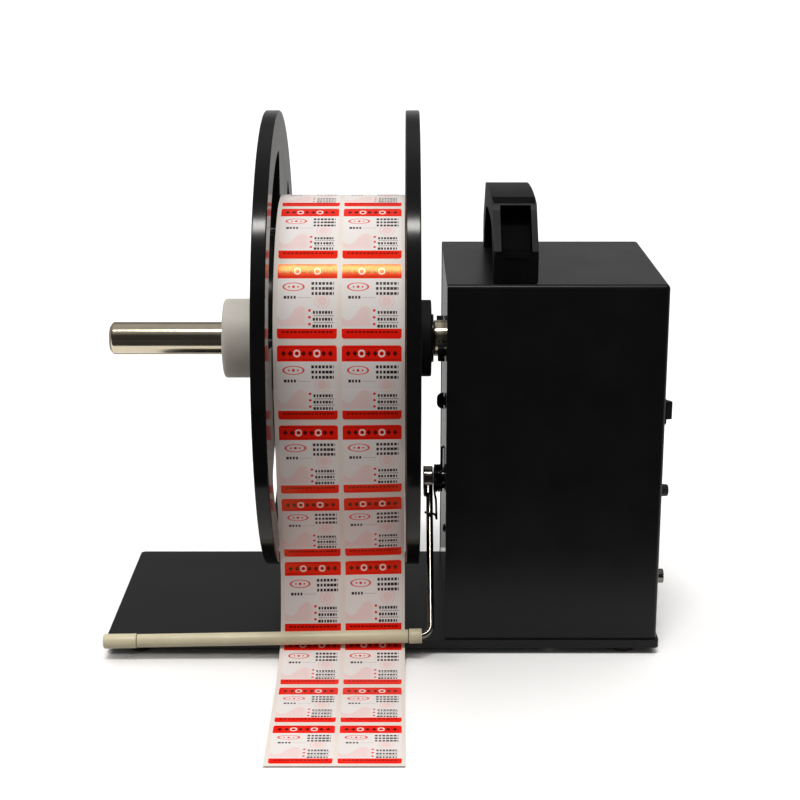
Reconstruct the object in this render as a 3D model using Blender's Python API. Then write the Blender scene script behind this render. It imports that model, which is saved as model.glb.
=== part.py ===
"""Table label rewinder: a motor-driven spindle with two windowed flanges, a roll of
labels, and a sprung tension arm with a guide roller.

Lengths below are in millimetres in the machine frame: X along the spindle (the motor
housing is at +X), Y to the back, Z up, with the table at Z = 0 and the spindle axis
at Y = 0. Everything hangs from one empty that moves the machine frame so that the
origin is at the bottom centre of the whole object.
"""

import math

import bmesh
import bpy
from mathutils import Matrix, Vector

# ---------------------------------------------------------------- driving dimensions
MM = 0.001
SHIFT_X = 4.05              # machine frame to part frame
SHIFT_Y = 33.75
GAP = 0.3                   # clearance between touching pieces

SPINDLE_Z = 162.8
SPINDLE_R = 9.0
SPINDLE_FREE_X = -160.8
SHOULDER_R = 10.0
SHOULDER_X0, SHOULDER_X1 = 18.9, 27.0
JOURNAL_R = 6.0
JOURNAL_X1 = 76.0

FLANGE_R = 125.0
FIXED_FLANGE_X0, FIXED_FLANGE_X1 = 3.0, 10.5
OUTER_FLANGE_X0, OUTER_FLANGE_X1 = -72.8, -65.3
WINDOW_R0, WINDOW_R1, WINDOW_CORNER = 60.0, 104.5, 5.0
WINDOW_SPANS = ((0.0, 80.0), (120.0, 200.0), (240.0, 320.0))
BOSS_R, BOSS_HOLE_R = 12.3, 12.6
HUB_R = 21.3
NYLON_R, NYLON_X0 = 22.0, -97.3

WEB_X0, WEB_X1 = -65.0, 2.6
CORE_R0, CORE_R1 = 12.9, 16.5
ROLL_R = 79.3
WEB_THICK = 0.35

ARM_PIVOT_Z = 81.1
ARM_LENGTH = 95.88
ARM_ANGLE = math.radians(45.0)
ARM_X = 16.65
ROD_R = 1.9
ARM_BEND_R = 6.0
ROLLER_R0, ROLLER_R1 = 2.3, 3.6
ROLLER_DROOP = math.radians(1.05)

BASE_X0, BASE_X1 = -160.8, 141.2
BASE_Y0, BASE_Y1 = -61.4, 76.3
BASE_Z0, BASE_Z1 = 3.4, 8.1
FOOT_R = 7.2
FOOT_X, FOOT_Y = (-142.9, 122.5), (-51.5, 66.4)

BOX_X0, BOX_X1 = 24.5, 140.0
BOX_Y0, BOX_Y1 = -60.0, 69.0
BOX_Z0, BOX_Z1 = 8.4, 205.2
WALL = 1.5
SIDE_X0, SIDE_X1 = 24.8, 27.3

HANDLE_X0, HANDLE_X1 = 48.5, 71.6
HANDLE_Y = 2.5

GEAR_MODULE, GEAR_TEETH, PINION_TEETH = 1.25, 48, 16
MOTOR_Z = SPINDLE_Z - GEAR_MODULE * (GEAR_TEETH + PINION_TEETH) / 2
SWITCH_Y, SWITCH_Z = -38.0, 133.2
ROCKER_TILT = math.radians(14.0)
ROCKER_PIVOT_X = 137.4
KNOB_Z = 73.8
JACK_Y, JACK_Z = -30.0, 33.4

for old in list(bpy.data.objects):
    bpy.data.objects.remove(old, do_unlink=True)
SCENE = bpy.context.scene


# ---------------------------------------------------------------- frames
PLACE = {}


def empty(name, at, parent=None, turn=None):
    """An empty at a point of the machine frame, or at the part's origin."""
    e = bpy.data.objects.new(name, None)
    SCENE.collection.objects.link(e)
    PLACE[name] = Vector(at)
    e.parent = parent
    base = PLACE[parent.name] if parent else Vector((0, 0, 0))
    e.location = (Vector(at) - base) * MM
    if turn:
        e.rotation_euler = turn
    return e


origin = bpy.data.objects.new("machine_frame", None)
SCENE.collection.objects.link(origin)
origin.location = (SHIFT_X * MM, SHIFT_Y * MM, 0)
PLACE["machine_frame"] = Vector((0, 0, 0))

spindle_axis = empty("spindle_axis", (0, 0, SPINDLE_Z), origin)
outer_axis = empty("outer_flange_axis", (0, 0, SPINDLE_Z), spindle_axis)
arm_axis = empty("tension_arm_axis", (0, 0, ARM_PIVOT_Z), origin)
ARM_DIR = Vector((0, -math.cos(ARM_ANGLE), -math.sin(ARM_ANGLE)))
ROLLER_AT = Vector((ARM_X - ARM_BEND_R, 0, ARM_PIVOT_Z)) + ARM_DIR * ARM_LENGTH
roller_axis = empty("roller_axis", ROLLER_AT, arm_axis, (0, -ROLLER_DROOP, 0))
motor_axis = empty("motor_axis", (0, 0, MOTOR_Z), origin)
rocker_axis = empty("rocker_axis", (ROCKER_PIVOT_X, SWITCH_Y, SWITCH_Z), origin)
knob_axis = empty("knob_axis", (BOX_X1, 0, KNOB_Z), origin)


# ---------------------------------------------------------------- finishes
def finish(name, color, rough, metal=0.0):
    mat = bpy.data.materials.new(name)
    mat.use_nodes = True
    shader = mat.node_tree.nodes["Principled BSDF"]
    shader.inputs["Base Color"].default_value = (*color, 1.0)
    shader.inputs["Roughness"].default_value = rough
    shader.inputs["Metallic"].default_value = metal
    return mat


BLACK_STEEL = ((0.018, 0.018, 0.019), 0.42, 0.0)
BLACK_PLASTIC = ((0.012, 0.012, 0.013), 0.45, 0.0)
GLOSS_BLACK = ((0.010, 0.010, 0.011), 0.22, 0.0)
NICKEL = ((0.74, 0.70, 0.64), 0.18, 1.0)
CHROME = ((0.80, 0.79, 0.77), 0.12, 1.0)
STEEL = ((0.60, 0.60, 0.61), 0.30, 1.0)
BRASS = ((0.76, 0.60, 0.30), 0.28, 1.0)
ZINC = ((0.66, 0.66, 0.67), 0.35, 1.0)
RUBBER = ((0.015, 0.015, 0.015), 0.80, 0.0)
NYLON = ((0.86, 0.85, 0.81), 0.45, 0.0)
IVORY = ((0.82, 0.77, 0.64), 0.40, 0.0)
PAPER = ((0.90, 0.84, 0.84), 0.55, 0.0)
CARD = ((0.52, 0.38, 0.24), 0.85, 0.0)
GREEN_BOARD = ((0.02, 0.16, 0.07), 0.45, 0.0)


# ---------------------------------------------------------------- shape helpers
def add_revolve(bm, profile, segs, closed=False, center=(0, 0), axis="X"):
    """Turns (along, radius) points about an axis through center."""

    def at(t, r, k):
        a = 2 * math.pi * k / segs
        u, v = center[0] + r * math.cos(a), center[1] + r * math.sin(a)
        return {"X": (t, u, v), "Y": (u, t, v), "Z": (u, v, t)}[axis]

    rings = []
    for t, r in profile:
        if r == 0:
            rings.append([bm.verts.new(at(t, 0, 0))])
        else:
            rings.append([bm.verts.new(at(t, r, k)) for k in range(segs)])
    pairs = list(zip(rings, rings[1:]))
    if closed:
        pairs.append((rings[-1], rings[0]))
    for a, b in pairs:
        if len(a) == 1 and len(b) == 1:
            continue
        for k in range(segs):
            n = (k + 1) % segs
            if len(a) == 1:
                bm.faces.new((a[0], b[k], b[n]))
            elif len(b) == 1:
                bm.faces.new((a[k], b[0], a[n]))
            else:
                bm.faces.new((a[k], b[k], b[n], a[n]))
    return bm


def add_cylinder(bm, axis, r, lo, hi, center, segs=16):
    return add_revolve(bm, [(lo, 0), (lo, r), (hi, r), (hi, 0)], segs, False, center, axis)


def add_box(bm, x0, x1, y0, y1, z0, z1):
    v = [bm.verts.new((x, y, z)) for x in (x0, x1) for y in (y0, y1) for z in (z0, z1)]
    for f in ((0, 1, 3, 2), (4, 6, 7, 5), (0, 4, 5, 1), (2, 3, 7, 6), (0, 2, 6, 4), (1, 5, 7, 3)):
        bm.faces.new([v[i] for i in f])
    return bm


def add_prism(bm, axis, outline, lo, hi):
    """Extrudes a closed outline of (u, v) points along an axis."""

    def at(t, u, v):
        return {"X": (t, u, v), "Y": (u, t, v), "Z": (u, v, t)}[axis]

    a = [bm.verts.new(at(lo, u, v)) for u, v in outline]
    b = [bm.verts.new(at(hi, u, v)) for u, v in outline]
    n = len(outline)
    for k in range(n):
        bm.faces.new((a[k], a[(k + 1) % n], b[(k + 1) % n], b[k]))
    bm.faces.new(a)
    bm.faces.new(b)
    return bm


def add_tube(bm, points, r, sides):
    """A round rod along a path, with flat ends."""
    pts = [Vector(p) for p in points]
    n = len(pts)
    tangents = []
    for i in range(n):
        t = (pts[min(i + 1, n - 1)] - pts[max(i - 1, 0)]).normalized()
        tangents.append(t)
    side = tangents[0].orthogonal().normalized()
    rings = []
    for i, (p, t) in enumerate(zip(pts, tangents)):
        side = (side - t * side.dot(t)).normalized()
        other = t.cross(side)
        rings.append(
            [
                bm.verts.new(p + (side * math.cos(a) + other * math.sin(a)) * r)
                for a in (2 * math.pi * k / sides for k in range(sides))
            ]
        )
    for a, b in zip(rings, rings[1:]):
        for k in range(sides):
            m = (k + 1) % sides
            bm.faces.new((a[k], a[m], b[m], b[k]))
    bm.faces.new(rings[0])
    bm.faces.new(rings[-1])
    return bm


def hexagon(across, center=(0, 0)):
    r = across / math.sqrt(3)
    return [
        (center[0] + r * math.cos(math.radians(60 * k)), center[1] + r * math.sin(math.radians(60 * k)))
        for k in range(6)
    ]


def bevel_edges(bm, width, segments, wanted):
    """Rounds the edges whose two ends both satisfy a test."""
    edges = [e for e in bm.edges if wanted(e.verts[0].co, e.verts[1].co)]
    bmesh.ops.bevel(bm, geom=edges, offset=width, segments=segments, profile=0.5, affect="EDGES")
    return bm


def place(name, bm, look, parent=origin, at=(0, 0, 0), smooth=True, turn=None, local=False):
    """Makes the object. The geometry in bm is relative to the point at."""
    bmesh.ops.recalc_face_normals(bm, faces=bm.faces)
    bmesh.ops.scale(bm, vec=(MM, MM, MM), verts=bm.verts)
    mesh = bpy.data.meshes.new(name)
    bm.to_mesh(mesh)
    bm.free()
    if smooth:
        mesh.shade_smooth()
        mesh.set_sharp_from_angle(angle=math.radians(35))
    mesh.materials.append(finish(name + "_finish", *look))
    obj = bpy.data.objects.new(name, mesh)
    SCENE.collection.objects.link(obj)
    obj.parent = parent
    obj.location = (Vector(at) if local else Vector(at) - PLACE[parent.name]) * MM
    if turn:
        obj.rotation_euler = turn
    return obj


def boolean(obj, bm, operation="DIFFERENCE", tag="cut"):
    """Cuts or joins a shape given in the same local coordinates as obj."""
    bmesh.ops.recalc_face_normals(bm, faces=bm.faces)
    bmesh.ops.scale(bm, vec=(MM, MM, MM), verts=bm.verts)
    mesh = bpy.data.meshes.new(obj.name + "_" + tag)
    bm.to_mesh(mesh)
    bm.free()
    tool = bpy.data.objects.new(obj.name + "_" + tag, mesh)
    SCENE.collection.objects.link(tool)
    tool.parent = obj.parent
    tool.location = obj.location
    tool.rotation_euler = obj.rotation_euler
    tool.hide_render = True
    tool.display_type = "WIRE"
    mod = obj.modifiers.new(tag, "BOOLEAN")
    mod.operation = operation
    mod.object = tool
    mod.solver = "EXACT"
    return obj


def new():
    return bmesh.new()


# ---------------------------------------------------------------- base and feet
SHELL_SCREWS = ((82.0, -53.0), (82.0, 53.0))
BRACKET_SCREWS = ((56.0, -22.0), (56.0, 22.0))

bm = add_box(new(), BASE_X0, BASE_X1, BASE_Y0, BASE_Y1, BASE_Z0, BASE_Z1)
bevel_edges(bm, 1.5, 2, lambda a, b: abs(a.z - b.z) > 1)
base = place("base_plate", bm, BLACK_STEEL)
holes = new()
for fx in FOOT_X:
    for fy in FOOT_Y:
        add_cylinder(holes, "Z", 3.3, 2.0, 6.4, (fx, fy), 10)
for sx, sy in SHELL_SCREWS + BRACKET_SCREWS:
    add_cylinder(holes, "Z", 1.85, 2.0, 10.0, (sx, sy), 8)
boolean(base, holes)

for end, fx in (("left", FOOT_X[0]), ("right", FOOT_X[1])):
    for side, fy in zip(("front", "rear"), FOOT_Y):
        profile = [(0, 0), (0, 6.3), (0.9, FOOT_R), (3.1, FOOT_R - 0.2), (3.1, 2.8), (6.0, 2.8), (6.0, 0)]
        place(
            "rubber_foot_%s_%s" % (side, end),
            add_revolve(new(), profile, 16, axis="Z"),
            RUBBER,
            at=(fx, fy, 0),
        )

# ---------------------------------------------------------------- motor housing
bm = add_box(new(), BOX_X0, BOX_X1, BOX_Y0, BOX_Y1, BOX_Z0, BOX_Z1)
bevel_edges(
    bm,
    2.6,
    3,
    lambda a, b: (a.z > 200 and b.z > 200 and not (a.x < 30 and b.x < 30))
    or (a.x > 130 and b.x > 130 and abs(a.z - b.z) > 1),
)
shell = place("housing_shell", bm, BLACK_STEEL)
inner = new()
add_box(inner, SIDE_X1 + 0.3 + WALL, BOX_X1 - WALL, BOX_Y0 + WALL, BOX_Y1 - WALL, BOX_Z0 + WALL, BOX_Z1 - WALL)
boolean(shell, inner, tag="inside")
boolean(
    shell,
    add_box(new(), BOX_X0 - 5, SIDE_X1 + 0.3, BOX_Y0 + WALL, BOX_Y1 - WALL, BOX_Z0 - 5, BOX_Z1 - WALL),
    tag="side_recess",
)
boolean(shell, add_box(new(), SIDE_X1 - 1, SIDE_X1 + 4, -46, 46, BOX_Z0 - 5, 191), tag="side_opening")
boolean(shell, add_box(new(), SIDE_X1 - 0.5, 128, -46.99, 46.99, BOX_Z0 - 5, BOX_Z0 + WALL + 2), tag="floor_opening")
holes = new()
add_box(holes, BOX_X1 - 5, BOX_X1 + 5, SWITCH_Y - 9.95, SWITCH_Y + 9.95, SWITCH_Z - 6.1, SWITCH_Z + 6.1)
add_cylinder(holes, "X", 4.9, BOX_X1 - 5, BOX_X1 + 5, (0, KNOB_Z), 16)
add_cylinder(holes, "X", 4.4, BOX_X1 - 5, BOX_X1 + 5, (JACK_Y, JACK_Z), 16)
for sx, sy in SHELL_SCREWS:
    add_cylinder(holes, "Z", 1.85, BOX_Z0 - 3, BOX_Z0 + 4, (sx, sy), 8)
HANDLE_MID = (HANDLE_X0 + HANDLE_X1) / 2
HANDLE_SCREW_Y = 52.5
for hy in (HANDLE_Y - HANDLE_SCREW_Y, HANDLE_Y + HANDLE_SCREW_Y):
    add_cylinder(holes, "Z", 2.4, BOX_Z1 - 4, BOX_Z1 + 4, (HANDLE_MID, hy), 10)
SIDE_SCREW_Y, SIDE_SCREW_Z = 52.0, 69.6
for sy in (-SIDE_SCREW_Y, SIDE_SCREW_Y):
    add_cylinder(holes, "X", 1.7, SIDE_X1 - 0.5, SIDE_X1 + 3, (sy, SIDE_SCREW_Z), 8)
boolean(shell, holes, tag="holes")

# recessed left wall with a foot folded inwards
BEARING_SCREWS = ((-16.5, -4.0), (16.5, 4.0))
SWITCH_SCREW_Z = 126.7
SPRING_LEG_Y, SPRING_LEG_Z = 7.35, ARM_PIVOT_Z + 16.5
side = place(
    "side_plate",
    add_box(new(), SIDE_X0, SIDE_X1, BOX_Y0 + WALL + GAP, BOX_Y1 - WALL - GAP, BOX_Z0, BOX_Z1 - WALL - GAP),
    BLACK_STEEL,
)
boolean(side, add_box(new(), SIDE_X1 - 1.0, 44, -44, 44, BOX_Z0, BOX_Z0 + 2.5), "UNION", "fold")
holes = new()
add_cylinder(holes, "X", 11.0, SIDE_X0 - 2, SIDE_X1 + 2, (0, SPINDLE_Z), 24)
for sy, sz in BEARING_SCREWS:
    add_cylinder(holes, "X", 2.3, SIDE_X0 - 2, SIDE_X1 + 2, (sy, SPINDLE_Z + sz), 12)
add_cylinder(holes, "X", 6.35, SIDE_X0 - 2, SIDE_X1 + 2, (0, ARM_PIVOT_Z), 20)
add_cylinder(holes, "X", 1.3, SIDE_X0 - 2, SIDE_X1 + 2, (SPRING_LEG_Y, SPRING_LEG_Z), 10)
add_cylinder(holes, "X", 2.8, SIDE_X0 - 2, SIDE_X1 + 2, (0, SWITCH_SCREW_Z), 12)
for sy in (-SIDE_SCREW_Y, SIDE_SCREW_Y):
    add_cylinder(holes, "X", 1.7, SIDE_X0 - 2, SIDE_X1 + 2, (sy, SIDE_SCREW_Z), 8)
boolean(side, holes)


def screw(name, look, at, axis, head_r, head_h, shank_r, shank_l, segs=14, turn=None, dome=0.0, parent=origin):
    """A screw whose head seat is at the given point and whose shank runs to +axis."""
    profile = [(-head_h, 0), (-head_h, head_r - dome), (-head_h + dome, head_r), (0, head_r)]
    if dome == 0.0:
        profile = [(-head_h, 0), (-head_h, head_r), (0, head_r)]
    profile += [(0, shank_r), (shank_l, shank_r), (shank_l, 0)]
    return place(name, add_revolve(new(), profile, segs, axis=axis), look, parent=parent, at=at, turn=turn)


for tag, sy in (("front", -SIDE_SCREW_Y), ("rear", SIDE_SCREW_Y)):
    screw("side_plate_screw_" + tag, BLACK_STEEL, (SIDE_X0 - GAP, sy, SIDE_SCREW_Z), "X", 2.4, 1.4, 1.3, 6.5, 12, dome=0.5)
for tag, (sx, sy) in zip(("front", "rear"), SHELL_SCREWS):
    screw("shell_screw_" + tag, ZINC, (sx, sy, BASE_Z0 - GAP), "Z", 2.75, 2.1, 1.5, 8.0, 12, dome=0.6)
for tag, (sx, sy) in zip(("front", "rear"), BRACKET_SCREWS):
    screw("bracket_screw_" + tag, ZINC, (sx, sy, BASE_Z0 - GAP), "Z", 2.75, 2.1, 1.5, 10.0, 12, dome=0.6)
for tag, hy in (("front", HANDLE_Y - HANDLE_SCREW_Y), ("rear", HANDLE_Y + HANDLE_SCREW_Y)):
    screw("handle_screw_" + tag, ZINC, (HANDLE_MID, hy, BOX_Z1 - WALL - GAP), "Z", 3.6, 2.6, 2.0, 12.0, 12, dome=0.6)
for tag, (sy, sz) in zip(("front", "rear"), BEARING_SCREWS):
    screw("bearing_screw_" + tag, BLACK_STEEL, (SIDE_X0 - GAP, sy, SPINDLE_Z + sz), "X", 5.1, 3.8, 2.0, 10.5, 16, dome=0.6)

# ---------------------------------------------------------------- carrying handle
HANDLE_Z = BOX_Z1 + GAP
outer = [(59.3, 0), (59.3, 14), (58.5, 16.5), (41.8, 35.2), (39.1, 38.2), (27, 39.8), (13.5, 40.7), (0, 41)]
under = [(0, 28.5), (14.6, 28.2), (28, 26.2), (32.2, 23.8), (44.3, 10.5), (45.8, 7.5), (45.8, 0)]
outline = outer + [(-y, z) for y, z in reversed(outer[:-1])]
outline += [(-y, z) for y, z in reversed(under)] + under[1:]
handle = place(
    "carry_handle",
    add_prism(new(), "X", outline, HANDLE_X0 - HANDLE_MID, HANDLE_X1 - HANDLE_MID),
    BLACK_PLASTIC,
    at=(HANDLE_MID, HANDLE_Y, HANDLE_Z),
    smooth=True,
)
holes = new()
for hy in (-HANDLE_SCREW_Y, HANDLE_SCREW_Y):
    add_cylinder(holes, "Z", 2.4, -2, 11.5, (0, hy), 10)
boolean(handle, holes)

# ---------------------------------------------------------------- spindle bearings and inner bracket
housing = place(
    "bearing_housing",
    add_revolve(new(), [(27.6, 7.5), (27.6, 22), (41, 22), (41, 14.4), (30, 14.4), (30, 7.5)], 22, True),
    STEEL,
    at=(0, 0, SPINDLE_Z),
)
holes = new()
for sy, sz in BEARING_SCREWS:
    add_cylinder(holes, "X", 2.35, 25, 36, (sy, sz), 10)
boolean(housing, holes)


def bearing(name, x0, x1, r0, r1):
    mid = (r0 + r1) / 2
    w = (r1 - r0) * 0.17
    profile = [
        (x0, r0), (x0, r1), (x1, r1), (x1, mid + w), (x1 - 0.5, mid + w), (x1 - 0.5, mid - w), (x1, mid - w), (x1, r0),
    ]
    return place(name, add_revolve(new(), profile, 18, True), STEEL, at=(0, 0, SPINDLE_Z))


bearing("spindle_bearing_front", 30.4, 38.4, 6.3, 13.9)
bearing("spindle_bearing_rear", 66.2, 70.8, 6.3, 10.4)

BRACKET_X0, BRACKET_X1 = 66.0, 71.0
bracket = place(
    "inner_bracket",
    add_prism(
        new(),
        "Y",
        [(47, BOX_Z0), (BRACKET_X1, BOX_Z0), (BRACKET_X1, 186), (BRACKET_X0, 186), (BRACKET_X0, BOX_Z0 + 3), (47, BOX_Z0 + 3)],
        -32,
        32,
    ),
    STEEL,
)
MOTOR_SCREWS = (-13.0, 13.0)
holes = new()
add_cylinder(holes, "X", 10.8, BRACKET_X0 - 2, BRACKET_X1 + 2, (0, SPINDLE_Z), 24)
add_cylinder(holes, "X", 6.5, BRACKET_X0 - 2, BRACKET_X1 + 2, (0, MOTOR_Z), 20)
for my in MOTOR_SCREWS:
    add_cylinder(holes, "X", 1.8, BRACKET_X0 - 2, BRACKET_X1 + 2, (my, MOTOR_Z), 10)
for sx, sy in BRACKET_SCREWS:
    add_cylinder(holes, "Z", 1.8, BOX_Z0 - 2, BOX_Z0 + 6, (sx, sy), 10)
boolean(bracket, holes)

motor = place(
    "gear_motor",
    add_revolve(
        new(),
        [(71.4, 0), (71.4, 18.5), (96, 18.5), (96, 17.2), (124, 17.2), (126, 15.5), (126, 7), (129, 7), (129, 0)],
        22,
    ),
    ZINC,
    at=(0, 0, MOTOR_Z),
)
holes = new()
add_cylinder(holes, "X", 4.4, 70, 87, (0, 0), 14)
for my in MOTOR_SCREWS:
    add_cylinder(holes, "X", 1.85, 70, 78, (my, 0), 8)
boolean(motor, holes)
for tag, my in zip(("front", "rear"), MOTOR_SCREWS):
    screw("motor_screw_" + tag, ZINC, (BRACKET_X0 - GAP, my, MOTOR_Z), "X", 2.75, 2.0, 1.5, 11.0, 12, dome=0.5)


# ---------------------------------------------------------------- gears
def gear_outline(teeth, phase):
    """Straight-sided teeth; phase is the angle of a tooth's middle."""
    pitch = GEAR_MODULE * teeth / 2
    root, tip = pitch - 1.25 * GEAR_MODULE, pitch + 0.8 * GEAR_MODULE
    half = math.pi / (2 * teeth) * 0.78
    points = []
    for k in range(teeth):
        mid = phase + 2 * math.pi * k / teeth
        for r, f in ((root, -1.45), (tip, -0.5), (tip, 0.5), (root, 1.45)):
            a = mid + f * half
            points.append((r * math.cos(a), r * math.sin(a)))
    return points


gear = place(
    "drive_gear",
    add_prism(new(), "X", gear_outline(GEAR_TEETH, -math.pi / 2), 50, 58),
    BRASS,
    parent=spindle_axis,
    at=(0, 0, SPINDLE_Z),
)
boolean(gear, add_cylinder(new(), "X", 11, 44, 50.5, (0, 0), 20), "UNION", "hub")
boolean(gear, add_cylinder(new(), "X", 6.3, 40, 62, (0, 0), 20), tag="bore")

pinion = place(
    "motor_pinion",
    add_prism(new(), "X", gear_outline(PINION_TEETH, math.pi / 2 + math.pi / PINION_TEETH), 49.5, 58.5),
    STEEL,
    parent=motor_axis,
    at=(0, 0, MOTOR_Z),
)
boolean(pinion, add_cylinder(new(), "X", 4.0, 46, 85, (0, 0), 14), "UNION", "shaft")

# ---------------------------------------------------------------- spindle and what turns with it
place(
    "spindle_shaft",
    add_revolve(
        new(),
        [
            (SPINDLE_FREE_X, 0), (SPINDLE_FREE_X, 7.2), (SPINDLE_FREE_X + 0.6, 8.3), (SPINDLE_FREE_X + 1.8, SPINDLE_R),
            (SHOULDER_X0, SPINDLE_R), (SHOULDER_X0, SHOULDER_R), (SHOULDER_X1, SHOULDER_R), (SHOULDER_X1, JOURNAL_R),
            (72.0, JOURNAL_R), (72.0, 5.0), (73.8, 5.0), (73.8, JOURNAL_R), (JOURNAL_X1 - 0.6, JOURNAL_R),
            (JOURNAL_X1, JOURNAL_R - 0.6), (JOURNAL_X1, 0),
        ],
        20,
    ),
    NICKEL,
    parent=spindle_axis,
    at=(0, 0, SPINDLE_Z),
)
ring = []
for k in range(17):
    a = math.radians(-150 + 300 * k / 16)
    ring.append((8.5 * math.cos(a), 8.5 * math.sin(a)))
for k in range(16, -1, -1):
    a = math.radians(-150 + 300 * k / 16)
    ring.append((5.3 * math.cos(a), 5.3 * math.sin(a)))
place(
    "retaining_ring", add_prism(new(), "X", ring, 72.4, 73.4), STEEL, parent=spindle_axis, at=(0, 0, SPINDLE_Z)
)


def window_outline(a0, a1):
    """A curved window between two radii, with rounded corners. Angles run from the top towards the front."""
    c = WINDOW_CORNER
    points = []

    def put(r, a):
        points.append((-r * math.sin(a), r * math.cos(a)))

    a0, a1 = math.radians(a0), math.radians(a1)
    t1, t0 = c / (WINDOW_R1 - c), c / (WINDOW_R0 + c)
    for k in range(8):
        put(WINDOW_R1, a0 + t1 + (a1 - a0 - 2 * t1) * k / 7)
    for q in (30, 60):
        put(WINDOW_R1 - c + c * math.cos(math.radians(q)), a1 - t1 + t1 * math.sin(math.radians(q)))
    put(WINDOW_R1 - c, a1)
    put(WINDOW_R0 + c, a1)
    for q in (60, 30):
        put(WINDOW_R0 + c - c * math.cos(math.radians(q)), a1 - t0 + t0 * math.sin(math.radians(q)))
    for k in range(5):
        put(WINDOW_R0, a1 - t0 - (a1 - a0 - 2 * t0) * k / 4)
    for q in (30, 60):
        put(WINDOW_R0 + c - c * math.cos(math.radians(q)), a0 + t0 - t0 * math.sin(math.radians(q)))
    put(WINDOW_R0 + c, a0)
    put(WINDOW_R1 - c, a0)
    for q in (60, 30):
        put(WINDOW_R1 - c + c * math.cos(math.radians(q)), a0 + t1 - t1 * math.sin(math.radians(q)))
    return points


def flange(name, x0, x1, parent):
    e = 0.7
    profile = [
        (x0, BOSS_HOLE_R), (x0, FLANGE_R - e), (x0 + e, FLANGE_R),
        (x1 - e, FLANGE_R), (x1, FLANGE_R - e), (x1, BOSS_HOLE_R),
    ]
    disc = place(name, add_revolve(new(), profile, 48, True), GLOSS_BLACK, parent=parent, at=(0, 0, SPINDLE_Z))
    windows = new()
    for a0, a1 in WINDOW_SPANS:
        add_prism(windows, "X", window_outline(a0, a1), x0 - 3, x1 + 3)
    return boolean(disc, windows, tag="windows")


flange("fixed_flange", FIXED_FLANGE_X0, FIXED_FLANGE_X1, spindle_axis)
hub = place(
    "fixed_hub",
    add_revolve(
        new(),
        [
            (-20, 9.3), (-20, BOSS_R), (FIXED_FLANGE_X1 + GAP, BOSS_R),
            (FIXED_FLANGE_X1 + GAP, HUB_R), (16.6, HUB_R), (17.3, HUB_R - 0.7), (17.3, 9.3),
        ],
        22,
        True,
    ),
    BLACK_PLASTIC,
    parent=spindle_axis,
    at=(0, 0, SPINDLE_Z),
)
boolean(hub, add_cylinder(new(), "Y", 2.3, 5, 25, (14.0, 0), 12), tag="screw_hole")
place(
    "hub_set_screw",
    add_cylinder(new(), "Y", 2.0, 9.6, 17.0, (0, 0), 12),
    STEEL,
    parent=spindle_axis,
    at=(14.0, 0, SPINDLE_Z),
)
place(
    "stop_washer",
    add_revolve(new(), [(17.6, 9.3), (17.6, 13.35), (18.6, 13.35), (18.6, 9.3)], 20, True),
    STEEL,
    parent=spindle_axis,
    at=(0, 0, SPINDLE_Z),
)
place(
    "paper_core",
    add_revolve(new(), [(WEB_X0, CORE_R0), (WEB_X0, CORE_R1), (WEB_X1, CORE_R1), (WEB_X1, CORE_R0)], 24, True),
    CARD,
    parent=spindle_axis,
    at=(0, 0, SPINDLE_Z),
)
place(
    "label_roll",
    add_revolve(new(), [(WEB_X0, CORE_R1 + GAP), (WEB_X0, ROLL_R), (WEB_X1, ROLL_R), (WEB_X1, CORE_R1 + GAP)], 48, True),
    PAPER,
    parent=spindle_axis,
    at=(0, 0, SPINDLE_Z),
)

# ---------------------------------------------------------------- outer flange, slides on the spindle
flange("outer_flange", OUTER_FLANGE_X0, OUTER_FLANGE_X1, outer_axis)
place(
    "outer_hub",
    add_revolve(
        new(),
        [
            (NYLON_X0, 9.3), (NYLON_X0, NYLON_R - 1.0), (NYLON_X0 + 1.0, NYLON_R),
            (OUTER_FLANGE_X0 - GAP, NYLON_R), (OUTER_FLANGE_X0 - GAP, BOSS_R), (-40, BOSS_R), (-40, 9.3),
            (-84.6, 9.3), (-84.6, 11.0), (-88.0, 11.0), (-88.0, 9.3),
        ],
        24,
        True,
    ),
    NYLON,
    parent=outer_axis,
    at=(0, 0, SPINDLE_Z),
)
section = [
    (-86.3 + 0.6 * math.cos(math.radians(60 * k)), 9.95 + 0.6 * math.sin(math.radians(60 * k))) for k in range(6)
]
place(
    "hub_friction_ring",
    add_revolve(new(), section, 18, True),
    RUBBER,
    parent=outer_axis,
    at=(0, 0, SPINDLE_Z),
)


# ---------------------------------------------------------------- tension arm
def along_arm(t, side=0.0, x=0.0):
    """A point t along the arm from its pivot, and side to its lower back."""
    c, s = math.cos(ARM_ANGLE), math.sin(ARM_ANGLE)
    return Vector((x, -c * t + s * side, -s * t - c * side))


rod = [along_arm(6.6, x=ARM_X), along_arm(40, x=ARM_X), along_arm(ARM_LENGTH - ARM_BEND_R, x=ARM_X)]
for k in range(1, 7):
    a = math.radians(15 * k)
    t = ARM_LENGTH - ARM_BEND_R + ARM_BEND_R * math.sin(a)
    rod.append(along_arm(t, x=ARM_X - ARM_BEND_R + ARM_BEND_R * math.cos(a)))
START = ROLLER_AT - Vector((0, 0, ARM_PIVOT_Z))
for s in (2.0, 80.0, 168.5):
    rod.append(START + Vector((-s * math.cos(ROLLER_DROOP), 0, -s * math.sin(ROLLER_DROOP))))
place("tension_arm_rod", add_tube(new(), rod, ROD_R, 10), CHROME, parent=arm_axis, at=(0, 0, ARM_PIVOT_Z))

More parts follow.
